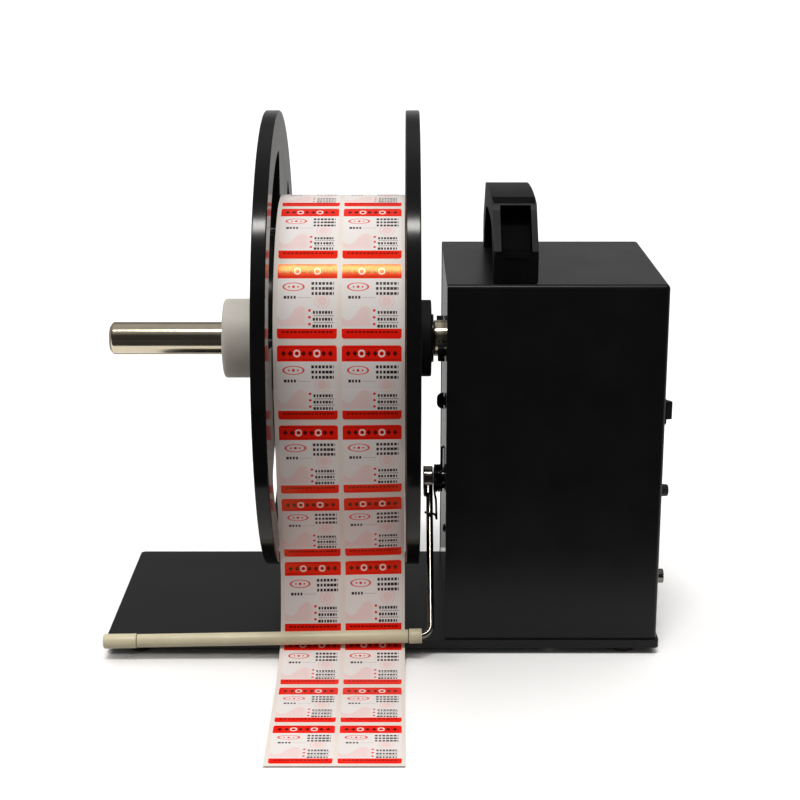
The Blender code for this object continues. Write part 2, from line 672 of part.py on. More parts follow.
COLLAR_X0, COLLAR_X1, COLLAR_R = 13.2, 18.6, 6.83
teardrop = []
near, far, reach = COLLAR_R, 3.6, 9.4
tilt = math.asin((near - far) / reach)
base_angle = math.atan2(-math.sin(ARM_ANGLE), -math.cos(ARM_ANGLE))
for k in range(17):
    a = base_angle + math.pi / 2 - tilt + (2 * math.pi - math.pi + 2 * tilt) * k / 16
    teardrop.append((near * math.cos(a), near * math.sin(a)))
cx, cz = reach * math.cos(base_angle), reach * math.sin(base_angle)
for k in range(9):
    a = base_angle - math.pi / 2 + tilt + (math.pi - 2 * tilt) * k / 8
    teardrop.append((cx + far * math.cos(a), cz + far * math.sin(a)))
collar = place(
    "arm_collar",
    add_prism(new(), "X", teardrop, COLLAR_X0, COLLAR_X1),
    CHROME,
    parent=arm_axis,
    at=(0, 0, ARM_PIVOT_Z),
)
holes = new()
add_cylinder(holes, "X", 3.3, COLLAR_X0 + 1.2, COLLAR_X1 + 3, (0, 0), 16)
boolean(collar, holes, tag="pin_hole")
boolean(collar, add_tube(new(), [along_arm(6.2, x=ARM_X - 0.3), along_arm(20, x=ARM_X - 0.3)], 2.3, 14), tag="rod_hole")
boolean(collar, add_tube(new(), [along_arm(-2.0, x=15.9), along_arm(-12.0, x=15.9)], 1.8, 10), tag="screw_hole")
place(
    "arm_set_screw",
    add_tube(new(), [along_arm(-3.4, x=15.9), along_arm(-6.9, x=15.9)], 1.45, 10),
    STEEL,
    parent=arm_axis,
    at=(0, 0, ARM_PIVOT_Z),
)
place(
    "arm_pivot_pin",
    add_revolve(new(), [(COLLAR_X0 + 1.5, 0), (COLLAR_X0 + 1.5, 3), (40, 3), (40, 0)], 16),
    STEEL,
    parent=arm_axis,
    at=(0, 0, ARM_PIVOT_Z),
)
cam = []
for k in range(17):
    a = math.radians(180 - 20 + (360 - 140) * k / 16)
    cam.append((7.5 * math.cos(a), 7.5 * math.sin(a)))
cam += [(5.6, 9.5), (3.4, 13.0), (1.6, 14.1), (-1.6, 14.1), (-3.4, 13.0), (-5.6, 9.5)]
cam_obj = place(
    "cam_lever", add_prism(new(), "X", cam, 34.0, 38.0), BLACK_PLASTIC, parent=arm_axis, at=(0, 0, ARM_PIVOT_Z)
)
boolean(cam_obj, add_cylinder(new(), "X", 3.3, 30, 42, (0, 0), 16), tag="bore")

place(
    "arm_bush",
    add_revolve(new(), [(18.95, 3.3), (18.95, 5.6), (19.35, 6.0), (33.4, 6.0), (33.4, 3.3)], 16, True),
    BLACK_STEEL,
    at=(0, 0, ARM_PIVOT_Z),
)
nut = place("arm_bush_nut", add_prism(new(), "X", hexagon(16.0), 27.6, 31.6), ZINC, at=(0, 0, ARM_PIVOT_Z))
boolean(nut, add_cylinder(new(), "X", 6.35, 20, 40, (0, 0), 20), tag="bore")

# torsion spring: inner leg into the side plate, coil round the bush, outer leg hooked over the rod
WIRE_R, COIL_R = 0.65, 7.35
COIL_XA, COIL_XB = 23.8, 19.6
points = [
    Vector((30.0, COIL_R, 16.5)), Vector((25.6, COIL_R, 16.5)), Vector((24.3, COIL_R, 16.1)),
    Vector((COIL_XA, COIL_R, 14.9)), Vector((COIL_XA, COIL_R, 6.0)),
]
TURN = 2 * math.pi * 3 + ARM_ANGLE
STEPS = 38
for k in range(STEPS + 1):
    a = TURN * k / STEPS
    x = COIL_XA + (COIL_XB - COIL_XA) * k / STEPS
    points.append(Vector((x, COIL_R * math.cos(a), -COIL_R * math.sin(a))))
points += [along_arm(t, COIL_R, COIL_XB) for t in (8.0, 19.0)]
points += [
    along_arm(22.2, 6.4, COIL_XB), along_arm(23.6, 3.6, COIL_XB), along_arm(24.0, 0.0, COIL_XB),
    along_arm(24.0, -2.2, 19.1), along_arm(24.0, -3.2, 17.8), along_arm(24.0, -3.3, 16.2),
]
place("torsion_spring", add_tube(new(), points, WIRE_R, 5), BLACK_STEEL, at=(0, 0, ARM_PIVOT_Z))

# guide roller and its stops, along the arm's level end
place(
    "guide_roller",
    add_revolve(new(), [(-152.9, ROLLER_R0), (-152.9, ROLLER_R1), (-6.2, ROLLER_R1), (-6.2, ROLLER_R0)], 16, True),
    IVORY,
    parent=roller_axis,
    local=True,
)
place(
    "roller_stop_collar",
    add_revolve(new(), [(-5.8, 2.35), (-5.8, 4.0), (1.2, 4.0), (1.2, 2.35)], 16, True),
    IVORY,
    parent=roller_axis,
    local=True,
)
place(
    "roller_end_cap",
    add_revolve(
        new(), [(-171.2, 0), (-171.2, 3.3), (-170.6, 3.95), (-153.2, 3.95), (-153.2, 2.2), (-168.9, 2.2), (-168.9, 0)], 16
    ),
    IVORY,
    parent=roller_axis,
    local=True,
)


# ---------------------------------------------------------------- label web
ROUTE = (
    (-79.34, 154.46), (-77.7, 144.0), (-75.7, 134.0), (-72.8, 115.0), (-67.9, 93.0), (-60.4, 73.0), (-54.8, 57.0),
    (-52.5, 45.0), (-54.0, 33.0), (-56.8, 22.0), (-60.0, 13.4), (-63.0, 9.8), (-66.0, 7.75), (-72.0, 5.9),
    (-80.0, 3.8), (-90.0, 1.9), (-100.0, 0.85), (-108.0, 0.55), (-120.0, 0.525), (-150.0, 0.525), (-192.5, 0.525),
)


def web_path(steps=2):
    """Middle line of the web seen from the side, as (y, z): off the roll, behind and under the roller, on the table."""
    low = GAP + 0.05 + WEB_THICK / 2
    path = []
    for i in range(len(ROUTE) - 1):
        p0, p1, p2, p3 = ROUTE[max(i - 1, 0)], ROUTE[i], ROUTE[i + 1], ROUTE[min(i + 2, len(ROUTE) - 1)]
        for k in range(steps):
            u = k / steps
            y, z = (
                0.5 * (2 * b + (c - a) * u + (2 * a - 5 * b + 4 * c - d) * u * u + (-a + 3 * b - 3 * c + d) * u ** 3)
                for a, b, c, d in zip(p0, p1, p2, p3)
            )
            path.append((y, max(z, low)))
    path.append(ROUTE[-1])
    return path


path = web_path()
left, right = [], []
for i, (y, z) in enumerate(path):
    a, b = path[max(i - 1, 0)], path[min(i + 1, len(path) - 1)]
    ty, tz = b[0] - a[0], b[1] - a[1]
    n = math.hypot(ty, tz)
    ny, nz = -tz / n * WEB_THICK / 2, ty / n * WEB_THICK / 2
    left.append((y + ny, z + nz))
    right.append((y - ny, z - nz))
bm = new()
rows = [
    [bm.verts.new((x, y, z)) for x, (y, z) in ((WEB_X0, l), (WEB_X1, l), (WEB_X1, r), (WEB_X0, r))]
    for l, r in zip(left, right)
]
for a, b in zip(rows, rows[1:]):
    for k in range(4):
        bm.faces.new((a[k], a[(k + 1) % 4], b[(k + 1) % 4], b[k]))
bm.faces.new(rows[0])
bm.faces.new(rows[-1])
place("label_web", bm, PAPER)

# ---------------------------------------------------------------- arm switch behind the side plate
bkt = place("switch_bracket", add_box(new(), 27.6, 29.6, -12, 12, 100, 135), ZINC)
boolean(bkt, add_cylinder(new(), "X", 2.8, 25, 32, (0, SWITCH_SCREW_Z), 12), tag="hole")
place(
    "switch_screw",
    add_revolve(
        new(), [(-3.8, 0), (-3.8, 1.9), (-2.9, 3.5), (-1.2, 4.6), (0, 4.7), (0, 2.5), (9.2, 2.5), (9.2, 0)], 16
    ),
    BLACK_STEEL,
    at=(SIDE_X0 - GAP, 0, SWITCH_SCREW_Z),
)
bm = add_box(new(), 30.0, 40.0, -13.9, 13.9, 101.5, 117.0)
microswitch = place("microswitch", bm, BLACK_PLASTIC)
boolean(microswitch, add_box(new(), 34.0, 38.0, -3.0, 3.0, 97.0, 103.0), "UNION", "button")

# ---------------------------------------------------------------- electrics
bm = add_box(new(), 76, 127, -20, 46, BOX_Z0, BOX_Z0 + 2)
tray = place("board_tray", bm, BLACK_PLASTIC)
posts = new()
for px in (79, 119):
    for py in (-17, 38):
        add_box(posts, px, px + 5, py, py + 5, BOX_Z0 + 1, BOX_Z0 + 7.3)
boolean(tray, posts, "UNION", "posts")
board = place("control_board", add_box(new(), 77.5, 125.5, -18.5, 44.5, BOX_Z0 + 7.6, BOX_Z0 + 9.2), GREEN_BOARD)
parts = new()
add_box(parts, 83, 98, -12, 7, BOX_Z0 + 8.4, BOX_Z0 + 24)
add_cylinder(parts, "Z", 5.5, BOX_Z0 + 8.4, BOX_Z0 + 25, (112, 2), 14)
add_box(parts, 106, 122, 26, 41, BOX_Z0 + 8.4, BOX_Z0 + 19)
add_box(parts, 82, 96, 20, 30, BOX_Z0 + 8.4, BOX_Z0 + 12)
boolean(board, parts, "UNION", "components")

jack = place(
    "dc_inlet",
    add_box(new(), 122, 138.2, -7, 7, -5.4, 5.6),
    BLACK_PLASTIC,
    at=(0, JACK_Y, JACK_Z),
)
boolean(jack, add_cylinder(new(), "X", 4.0, 137.5, 147.0, (0, 0), 18), "UNION", "barrel")
boolean(jack, add_cylinder(new(), "X", 3.2, 135.0, 150.0, (0, 0), 16), tag="socket")

switch = place(
    "rocker_switch_body",
    add_box(new(), 118, 140.8, -9.65, 9.65, -5.8, 5.8),
    BLACK_PLASTIC,
    at=(0, SWITCH_Y, SWITCH_Z),
    smooth=False,
)
boolean(switch, add_box(new(), BOX_X1 + GAP, 142.3, -10.5, 10.5, -6.6, 6.6), "UNION", "bezel")
boolean(switch, add_box(new(), 132.0, 145.0, -8.9, 8.9, -5.25, 5.25), tag="pocket")

half = [(-3.5, 5.2), (3.0, 7.0), (7.6, 7.2)]
rocker_outline = half + [(5.4, 2.4), (4.8, 0.0), (5.4, -2.4)] + [(x, -z) for x, z in reversed(half)]
turned = []
for x, y in rocker_outline:
    c, s = math.cos(ROCKER_TILT), math.sin(ROCKER_TILT)
    turned.append((x * c + y * s, x * s - y * c))
place(
    "power_rocker",
    add_prism(new(), "Z", turned, -4.95, 4.95),
    BLACK_PLASTIC,
    parent=rocker_axis,
    at=(ROCKER_PIVOT_X, SWITCH_Y, SWITCH_Z),
    smooth=False,
)

pot = place(
    "speed_potentiometer",
    add_revolve(new(), [(127, 0), (127, 8), (138.2, 8), (138.2, 4.5), (140.3, 4.5), (140.3, 0)], 18),
    ZINC,
    at=(0, 0, KNOB_Z),
)
boolean(pot, add_cylinder(new(), "X", 3.35, 129.5, 142, (0, 0), 16), tag="shaft_hole")
place(
    "speed_knob",
    add_revolve(
        new(),
        [
            (-10.0, 0), (-10.0, 3.0), (0.7, 3.0), (0.7, 7.0), (2.2, 7.0), (3.6, 5.2), (4.6, 3.7), (12.0, 3.4),
            (12.7, 2.8), (12.7, 0),
        ],
        16,
    ),
    BLACK_PLASTIC,
    parent=knob_axis,
    at=(BOX_X1, 0, KNOB_Z),
)
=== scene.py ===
"""Looks of the table label rewinder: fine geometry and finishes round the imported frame.

Lengths are in millimetres in the machine frame (X along the spindle, Y to the back, Z up,
spindle axis at Y = 0, table at Z = 0); make() moves every mesh to the frame's metres.
"""

import math

import bmesh
import bpy
from mathutils import Matrix, Vector


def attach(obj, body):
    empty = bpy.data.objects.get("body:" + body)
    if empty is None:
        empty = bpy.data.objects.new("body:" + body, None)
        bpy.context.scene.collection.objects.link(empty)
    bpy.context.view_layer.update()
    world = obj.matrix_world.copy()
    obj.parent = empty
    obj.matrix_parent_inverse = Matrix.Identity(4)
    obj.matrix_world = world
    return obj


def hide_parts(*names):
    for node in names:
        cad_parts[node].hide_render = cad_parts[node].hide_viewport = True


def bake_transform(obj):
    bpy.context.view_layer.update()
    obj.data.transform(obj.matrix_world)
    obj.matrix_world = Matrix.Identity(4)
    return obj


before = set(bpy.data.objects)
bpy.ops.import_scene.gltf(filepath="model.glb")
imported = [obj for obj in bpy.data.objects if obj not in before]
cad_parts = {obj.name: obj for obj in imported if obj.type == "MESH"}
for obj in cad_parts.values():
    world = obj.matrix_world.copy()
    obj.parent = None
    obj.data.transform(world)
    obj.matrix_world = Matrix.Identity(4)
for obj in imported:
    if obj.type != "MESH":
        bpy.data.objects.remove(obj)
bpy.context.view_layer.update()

SCENE = bpy.context.scene
MM = 0.001
SHIFT = Vector((4.05, 33.75, 0.0))

SPINDLE_Z = 162.8
FLANGE_R = 125.0
WINDOW_R0, WINDOW_R1, WINDOW_CORNER = 60.0, 104.5, 5.0
WINDOW_SPANS = ((0.0, 80.0), (120.0, 200.0), (240.0, 320.0))
WEB_X0, WEB_X1 = -65.0, 2.6
ROLL_R = 79.3
ARM_PIVOT_Z = 81.1
ARM_LENGTH = 95.88
ARM_ANGLE = math.radians(45.0)
ARM_X = 16.65
ROD_R = 1.9
ARM_BEND_R = 6.0
ROLLER_R0, ROLLER_R1 = 2.3, 3.6
ROLLER_DROOP = math.radians(1.05)
BASE_X0, BASE_X1, BASE_Y0, BASE_Y1, BASE_Z0, BASE_Z1 = -160.8, 141.2, -61.4, 76.3, 3.4, 8.1
BOX_X0, BOX_X1, BOX_Y0, BOX_Y1, BOX_Z0, BOX_Z1, WALL = 24.5, 140.0, -60.0, 69.0, 8.4, 205.2, 1.5
SIDE_X0, SIDE_X1 = 24.8, 27.3
HANDLE_X0, HANDLE_X1 = 48.5, 71.6
SWITCH_Y, SWITCH_Z = -38.0, 133.2
KNOB_Z = 73.8
JACK_Y, JACK_Z = -30.0, 33.4

# ---------------------------------------------------------------- camera
cam_data = bpy.data.cameras.new("camera")
cam_data.lens, cam_data.sensor_width = 77.04, 36.0
camera = bpy.data.objects.new("camera", cam_data)
SCENE.collection.objects.link(camera)
camera.location = (0.00405, -0.89315, 0.3836)
camera.rotation_euler = (math.radians(90 - 15.47), 0, 0)
SCENE.camera = camera
SCENE.view_settings.view_transform = "Standard"


# ---------------------------------------------------------------- shader helpers
class Term:
    """A number inside a shader, so that patterns can be written as sums."""

    def __init__(self, nt, value):
        self.nt, self.value = nt, value

    def op(self, name, *others, clamp=False):
        node = self.nt.nodes.new("ShaderNodeMath")
        node.operation, node.use_clamp = name, clamp
        for i, x in enumerate((self, *others)):
            x = x.value if isinstance(x, Term) else x
            if isinstance(x, (int, float)):
                node.inputs[i].default_value = x
            else:
                self.nt.links.new(x, node.inputs[i])
        return Term(self.nt, node.outputs[0])

    def __add__(self, o):
        return self.op("ADD", o)

    def __sub__(self, o):
        return self.op("SUBTRACT", o)

    def __mul__(self, o):
        return self.op("MULTIPLY", o)

    def __truediv__(self, o):
        return self.op("DIVIDE", o)

    def __abs__(self):
        return self.op("ABSOLUTE")

    def lo(self, o):
        return self.op("MINIMUM", o)

    def hi(self, o):
        return self.op("MAXIMUM", o)

    def floor(self):
        return self.op("FLOOR")

    def less(self, o, soft=0.05):
        """1 where the term is under o, with a short soft edge."""
        d = self - o
        return d.op("MULTIPLY_ADD", -1.0 / soft, 0.5, clamp=True)


def length2(a, b):
    return (a * a + b * b).op("SQRT")


def noise(nt, vector, scale, detail=3.0, rough=0.55):
    n = nt.nodes.new("ShaderNodeTexNoise")
    n.inputs["Scale"].default_value = scale
    n.inputs["Detail"].default_value = detail
    n.inputs["Roughness"].default_value = rough
    nt.links.new(vector, n.inputs["Vector"])
    return n.outputs["Fac"]


def object_vector(nt, stretch=(1, 1, 1)):
    tc = nt.nodes.new("ShaderNodeTexCoord")
    mp = nt.nodes.new("ShaderNodeMapping")
    mp.inputs["Scale"].default_value = stretch
    nt.links.new(tc.outputs["Object"], mp.inputs["Vector"])
    return mp.outputs["Vector"]


def blend_colours(nt, factor, a, b):
    m = nt.nodes.new("ShaderNodeMix")
    m.data_type = "RGBA"
    nt.links.new(factor, m.inputs["Factor"])
    for socket, c in ((m.inputs["A"], a), (m.inputs["B"], b)):
        if isinstance(c, (tuple, list)):
            socket.default_value = (*c, 1.0)
        else:
            nt.links.new(c, socket)
    return m.outputs["Result"]


def spread(nt, value, low, high):
    m = nt.nodes.new("ShaderNodeMapRange")
    m.inputs["From Min"].default_value = 0.3
    m.inputs["From Max"].default_value = 0.7
    m.inputs["To Min"].default_value = low
    m.inputs["To Max"].default_value = high
    nt.links.new(value, m.inputs["Value"])
    return m.outputs["Result"]


def bump(nt, height, strength, distance, normal=None):
    b = nt.nodes.new("ShaderNodeBump")
    b.inputs["Strength"].default_value = strength
    b.inputs["Distance"].default_value = distance
    nt.links.new(height, b.inputs["Height"])
    if normal is not None:
        nt.links.new(normal, b.inputs["Normal"])
    return b.outputs["Normal"]


def fresh(name):
    mat = bpy.data.materials.new(name)
    mat.use_nodes = True
    return mat, mat.node_tree, mat.node_tree.nodes["Principled BSDF"]


def surface(
    name, colour, rough, metal=0.0, tint=0.12, rough_var=0.06, patch=45.0, grain=1400.0,
    strength=0.25, depth=0.00004, stretch=(1, 1, 1), spec=0.5, coat=0.0, coat_rough=0.1, other=None, subsurface=0.0,
):
    """A finish with uneven colour and gloss in patches, and a fine grain in its relief."""
    mat, nt, bsdf = fresh(name)
    plain = object_vector(nt)
    fine = object_vector(nt, stretch)
    patches, grains = noise(nt, plain, patch, 4.0), noise(nt, fine, grain, 2.0)
    low = tuple(c * (1 - tint) for c in colour)
    high = tuple(min(1.0, c * (1 + tint)) for c in (other or colour))
    nt.links.new(blend_colours(nt, spread(nt, patches, 0, 1), low, high), bsdf.inputs["Base Color"])
    both = (Term(nt, patches) * 0.5 + Term(nt, grains) * 0.5).value
    nt.links.new(spread(nt, both, max(0.02, rough - rough_var), rough + rough_var), bsdf.inputs["Roughness"])
    nt.links.new(bump(nt, grains, strength, depth), bsdf.inputs["Normal"])
    bsdf.inputs["Metallic"].default_value = metal
    bsdf.inputs["Specular IOR Level"].default_value = spec
    bsdf.inputs["Coat Weight"].default_value = coat
    bsdf.inputs["Coat Roughness"].default_value = coat_rough
    bsdf.inputs["Subsurface Weight"].default_value = subsurface
    bsdf.inputs["Subsurface Scale"].default_value = 0.014
    bsdf.inputs["Subsurface Radius"].default_value = (1.0, 0.95, 0.90)
    return mat


BLACK_STEEL = surface("black_powder_coat", (0.0060, 0.0063, 0.0069), 0.31, tint=0.18, rough_var=0.04, grain=2100, strength=0.22, depth=0.00004, spec=0.21)
SIDE_COAT = surface("side_plate_coat", (0.0070, 0.0073, 0.0080), 0.13, tint=0.18, rough_var=0.03, grain=1800, strength=0.05, depth=0.00002, spec=0.55)
HUB_PLASTIC = surface("hub_plastic", (0.016, 0.016, 0.016), 0.62, tint=0.2, rough_var=0.06, grain=2600, strength=0.35, depth=0.00004, spec=0.22)
BLACK_PLASTIC = surface("black_moulded_plastic", (0.0080, 0.0080, 0.0085), 0.42, tint=0.2, rough_var=0.07, grain=2600, strength=0.35, depth=0.00004, spec=0.30)
HANDLE_PLASTIC = surface("handle_plastic", (0.0045, 0.0045, 0.0050), 0.42, tint=0.2, rough_var=0.06, grain=3000, strength=0.4, depth=0.00004, spec=0.10)
# lighter copy of the handle plastic for the sloping facets at the grip's front and back top: a painted highlight
HANDLE_PAINTED_HIGHLIGHT = surface("handle_painted_highlight", (0.019, 0.019, 0.020), 0.46, tint=0.35, rough_var=0.08, patch=150, grain=2600, strength=0.3, depth=0.00004, spec=0.14)
# darker, nearly unreflecting copy of the handle plastic for the pocket faces: painted shade in the recesses
HANDLE_RECESS_SHADE = surface("handle_recess_shade", (0.0030, 0.0030, 0.0033), 0.60, tint=0.3, rough_var=0.08, grain=2600, strength=0.3, depth=0.00004, spec=0.02)
FLANGE_FACE = surface("flange_gloss_black", (0.0055, 0.0055, 0.0060), 0.18, tint=0.25, rough_var=0.04, patch=30, grain=1500, strength=0.05, depth=0.00002, spec=0.15)
FLANGE_RIM = surface("flange_turned_rim", (0.0050, 0.0050, 0.0055), 0.13, tint=0.2, rough_var=0.03, patch=60, grain=900, strength=0.12, depth=0.00003, stretch=(5.0, 0.15, 0.15), spec=0.17)
NICKEL = surface("polished_nickel", (0.60, 0.53, 0.40), 0.14, 1.0, tint=0.07, rough_var=0.05, patch=120, grain=1100, strength=0.10, depth=0.00003, stretch=(4.0, 0.2, 0.2))
CHROME = surface("bright_chrome", (0.175, 0.16, 0.145), 0.16, 1.0, tint=0.06, rough_var=0.04, patch=140, grain=1500, strength=0.06, depth=0.00002)
STEEL = surface("machined_steel", (0.58, 0.58, 0.59), 0.30, 1.0, tint=0.10, rough_var=0.08, patch=90, grain=900, strength=0.18, depth=0.00004, stretch=(4.0, 0.3, 0.3))
ZINC = surface("zinc_plate", (0.62, 0.63, 0.66), 0.34, 1.0, tint=0.14, rough_var=0.08, patch=160, grain=1500, strength=0.2, depth=0.00003, other=(0.66, 0.64, 0.58))
SCREW_BLACK = surface("screw_black_oxide", (0.050, 0.050, 0.052), 0.12, 0.85, tint=0.25, rough_var=0.04, patch=400, grain=2500, strength=0.15, depth=0.00003, spec=0.6)
DARK_STEEL = surface("blackened_steel", (0.024, 0.024, 0.026), 0.16, 0.7, tint=0.25, rough_var=0.05, patch=400, grain=2500, strength=0.2, depth=0.00003, spec=0.6)
BRASS = surface("machined_brass", (0.70, 0.52, 0.22), 0.28, 1.0, tint=0.1, rough_var=0.07, patch=120, grain=1200, strength=0.15, depth=0.00003)
RUBBER = surface("matt_rubber", (0.012, 0.012, 0.012), 0.78, tint=0.3, rough_var=0.1, patch=200, grain=2600, strength=0.5, depth=0.00006, spec=0.3)
NYLON = surface("turned_nylon", (0.52, 0.495, 0.455), 0.52, tint=0.035, rough_var=0.06, patch=60, grain=1300, strength=0.22, depth=0.00004, stretch=(3.0, 0.25, 0.25), subsurface=0.9)
IVORY = surface("ivory_tube", (0.66, 0.59, 0.40), 0.38, tint=0.05, rough_var=0.06, patch=70, grain=1500, strength=0.12, depth=0.00003, stretch=(0.35, 2.0, 2.0), subsurface=0.1)
CARD = surface("brown_card", (0.40, 0.27, 0.15), 0.85, tint=0.2, rough_var=0.06, patch=180, grain=1800, strength=0.5, depth=0.00008, stretch=(0.5, 2.0, 2.0))
BOARD = surface("green_board", (0.010, 0.11, 0.045), 0.35, tint=0.3, rough_var=0.1, patch=220, grain=1800, strength=0.2, depth=0.00003)
LINER = surface("label_liner", (0.80, 0.725, 0.665), 0.42, tint=0.03, rough_var=0.05, patch=60, grain=1600, strength=0.10, depth=0.00002)


def wound_edge():
    """Side of the roll: many thin layers, seen as fine rings with a few darker ones."""
    mat, nt, bsdf = fresh("wound_paper_edge")
    tc = nt.nodes.new("ShaderNodeTexCoord")
    sep = nt.nodes.new("ShaderNodeSeparateXYZ")
    nt.links.new(tc.outputs["Object"], sep.inputs["Vector"])
    y = Term(nt, sep.outputs["Y"]) - SHIFT.y * MM
    z = Term(nt, sep.outputs["Z"]) - SPINDLE_Z * MM
    r = length2(y, z)
    ring = nt.nodes.new("ShaderNodeTexNoise")
    ring.noise_dimensions = "1D"
    ring.inputs["Scale"].default_value = 2400.0
    ring.inputs["Detail"].default_value = 3.0
    nt.links.new(r.value, ring.inputs["W"])
    wide = nt.nodes.new("ShaderNodeTexNoise")
    wide.noise_dimensions = "1D"
    wide.inputs["Scale"].default_value = 260.0
    nt.links.new(r.value, wide.inputs["W"])
    both = (Term(nt, ring.outputs["Fac"]) * 0.6 + Term(nt, wide.outputs["Fac"]) * 0.4).value
    nt.links.new(blend_colours(nt, spread(nt, both, 0, 1), (0.60, 0.50, 0.48), (0.82, 0.77, 0.75)), bsdf.inputs["Base Color"])
    nt.links.new(bump(nt, ring.outputs["Fac"], 0.5, 0.00008), bsdf.inputs["Normal"])
    nt.links.new(spread(nt, wide.outputs["Fac"], 0.62, 0.74), bsdf.inputs["Roughness"])
    return mat


WOUND = wound_edge()

# printed stock: two columns of labels on one liner
LABEL_W, LABEL_H, LABEL_PITCH, LABEL_START = 30.6, 40.0, 43.45, 20.3
COLUMNS = (-62.8, -29.75)
HEAD, FOOT = 8.3, 34.9
UNIT = 40.0


def printed(name, ink):
    """The print of one label, from its own millimetres: bands, lozenges, rings, dots and plain dashes."""
    mat, nt, bsdf = fresh(name)
    uv = nt.nodes.new("ShaderNodeUVMap")
    uv.uv_map = "print"
    sep = nt.nodes.new("ShaderNodeSeparateXYZ")
    nt.links.new(uv.outputs["UV"], sep.inputs["Vector"])
    u = Term(nt, sep.outputs["X"]) * UNIT
    v = Term(nt, sep.outputs["Y"]) * UNIT

    def dashes(u0, u1, v0, rows, gap, height, cell, seed):
        cu = (u - u0) / cell
        ci = cu.floor()
        rv = (v - v0) / gap
        ri = rv.floor()
        put = nt.nodes.new("ShaderNodeCombineXYZ")
        for k, t in enumerate((ci, ri)):
            nt.links.new(t.value, put.inputs[k])
        put.inputs[2].default_value = seed
        rnd = nt.nodes.new("ShaderNodeTexWhiteNoise")
        nt.links.new(put.outputs[0], rnd.inputs["Vector"])
        wide = Term(nt, rnd.outputs["Value"]) * 0.33 + 0.56
        across = abs((cu - ci) - 0.5).less(wide * 0.5, 0.08)
        down = abs((rv - ri) - 0.5).less(height / gap / 2, 0.06)
        inside = abs(u - (u0 + u1) / 2).less((u1 - u0) / 2).lo(abs(v - (v0 + rows * gap / 2)).less(rows * gap / 2))
        return across.lo(down).lo(inside)

    if ink:
        # a border of dark lozenges with two pale rings, and a row of dots on the footer
        step = 3.42
        cell = ((u - 1.6) / step).floor()
        cu = (u - 1.6) - cell * step - step / 2
        cv = v - 4.15
        lozenge = (abs(cu) + abs(cv) * 0.8).less(1.25, 0.12)
        in_row = abs(u - 15.3).less(13.6)
        ring_at = (abs(cell - 2).less(0.5, 0.1)).hi(abs(cell - 5).less(0.5, 0.1))
        d = length2(cu, cv)
        ring = abs(d - 1.55).less(0.42, 0.15)
        pip = d.less(0.55, 0.15)
        line = abs(abs(cv) - 3.05).less(0.14, 0.1)
        dots = dashes(2.2, 28.4, 35.7, 1, 1.9, 1.0, 2.05, 4.0) * 0.85
        dark = lozenge.lo(in_row).lo((ring_at * -1.0 + 1.0)).hi(dots).hi(pip.lo(ring_at)).hi(line.lo(in_row) * 0.55)
        pale = ring.lo(ring_at)
        base = noise(nt, object_vector(nt), 120.0, 3.0)
        colour = blend_colours(nt, base, (0.84, 0.010, 0.005), (0.92, 0.016, 0.007))
        colour = blend_colours(nt, dark.value, colour, (0.11, 0.004, 0.004))
        colour = blend_colours(nt, pale.value, colour, (0.90, 0.74, 0.70))
        nt.links.new(colour, bsdf.inputs["Base Color"])
        bsdf.inputs["Specular Tint"].default_value = (1.0, 0.56, 0.17, 1.0)
        bsdf.inputs["Specular IOR Level"].default_value = 0.34
        fine = noise(nt, object_vector(nt), 900.0, 2.0)
        nt.links.new(spread(nt, fine, 0.11, 0.14), bsdf.inputs["Roughness"])
        nt.links.new(bump(nt, fine, 0.05, 0.00002), bsdf.inputs["Normal"])
        return mat

    # pale hills and two rings as a watermark
    hill = (v - 26.5 - (u * 0.42).op("SINE") * 2.6 - (u * 0.17).op("COSINE") * 2.0)
    mound = (hill * -1.0).less(0.0, 0.5).lo(u.less(15.0, 3.0)).lo(v.less(33.6, 0.4)) * 0.30
    disc = length2(u - 23.0, v - 20.6)
    sun = disc.less(2.6, 0.3).hi(abs(disc - 3.7).less(0.35, 0.2)) * 0.32
    wash = mound.hi(sun)
    # outlined oval with a filled core, at the upper left
    oval = length2((u - 8.3) / 5.6, (v - 12.9) / 2.3)
    outline = abs(oval - 0.93).less(0.085, 0.06)
    core = length2(u - 8.3, v - 12.9).less(0.75, 0.12).hi(abs(length2(abs(u - 8.3) - 2.3, v - 12.9)).less(0.5, 0.12))
    bullets = length2(u - 16.6, ((v - 24.0) / 3.55 - ((v - 24.0) / 3.55).floor() - 0.42) * 3.55).less(0.72, 0.12)
    bullets = bullets.lo(abs(v - 29.3).less(5.3))
    red = outline.hi(core).hi(bullets)
    black = dashes(17.2, 29.0, 9.7, 3, 2.75, 1.55, 1.85, 3.0)
    black = black.hi(dashes(3.2, 9.9, 17.4, 1, 2.4, 1.5, 1.65, 5.0))
    black = black.hi(dashes(18.1, 28.2, 24.75, 3, 3.55, 1.5, 1.55, 8.0))
    faint = dashes(18.6, 29.2, 26.45, 3, 3.55, 0.62, 1.15, 11.0).hi(abs(v - 18.7).less(0.09, 0.08).lo(abs(u - 13.8).less(3.4)))
    clouds = noise(nt, object_vector(nt), 55.0, 3.0)
    colour = blend_colours(nt, clouds, (0.795, 0.745, 0.725), (0.835, 0.790, 0.772))
    colour = blend_colours(nt, wash.value, colour, (0.88, 0.36, 0.34))
    colour = blend_colours(nt, (faint * 0.72).value, colour, (0.08, 0.04, 0.04))
    colour = blend_colours(nt, red.value, colour, (0.78, 0.012, 0.010))
    colour = blend_colours(nt, black.value, colour, (0.014, 0.008, 0.008))
    nt.links.new(colour, bsdf.inputs["Base Color"])
    fine = noise(nt, object_vector(nt), 1200.0, 2.0)
    nt.links.new(spread(nt, fine, 0.40, 0.48), bsdf.inputs["Roughness"])
    nt.links.new(bump(nt, fine, 0.08, 0.00002), bsdf.inputs["Normal"])
    bsdf.inputs["Specular IOR Level"].default_value = 0.35
    return mat


LABEL_FACE, LABEL_INK = printed("label_print", False), printed("label_ink", True)


# ---------------------------------------------------------------- mesh helpers
def new():
    return bmesh.new()


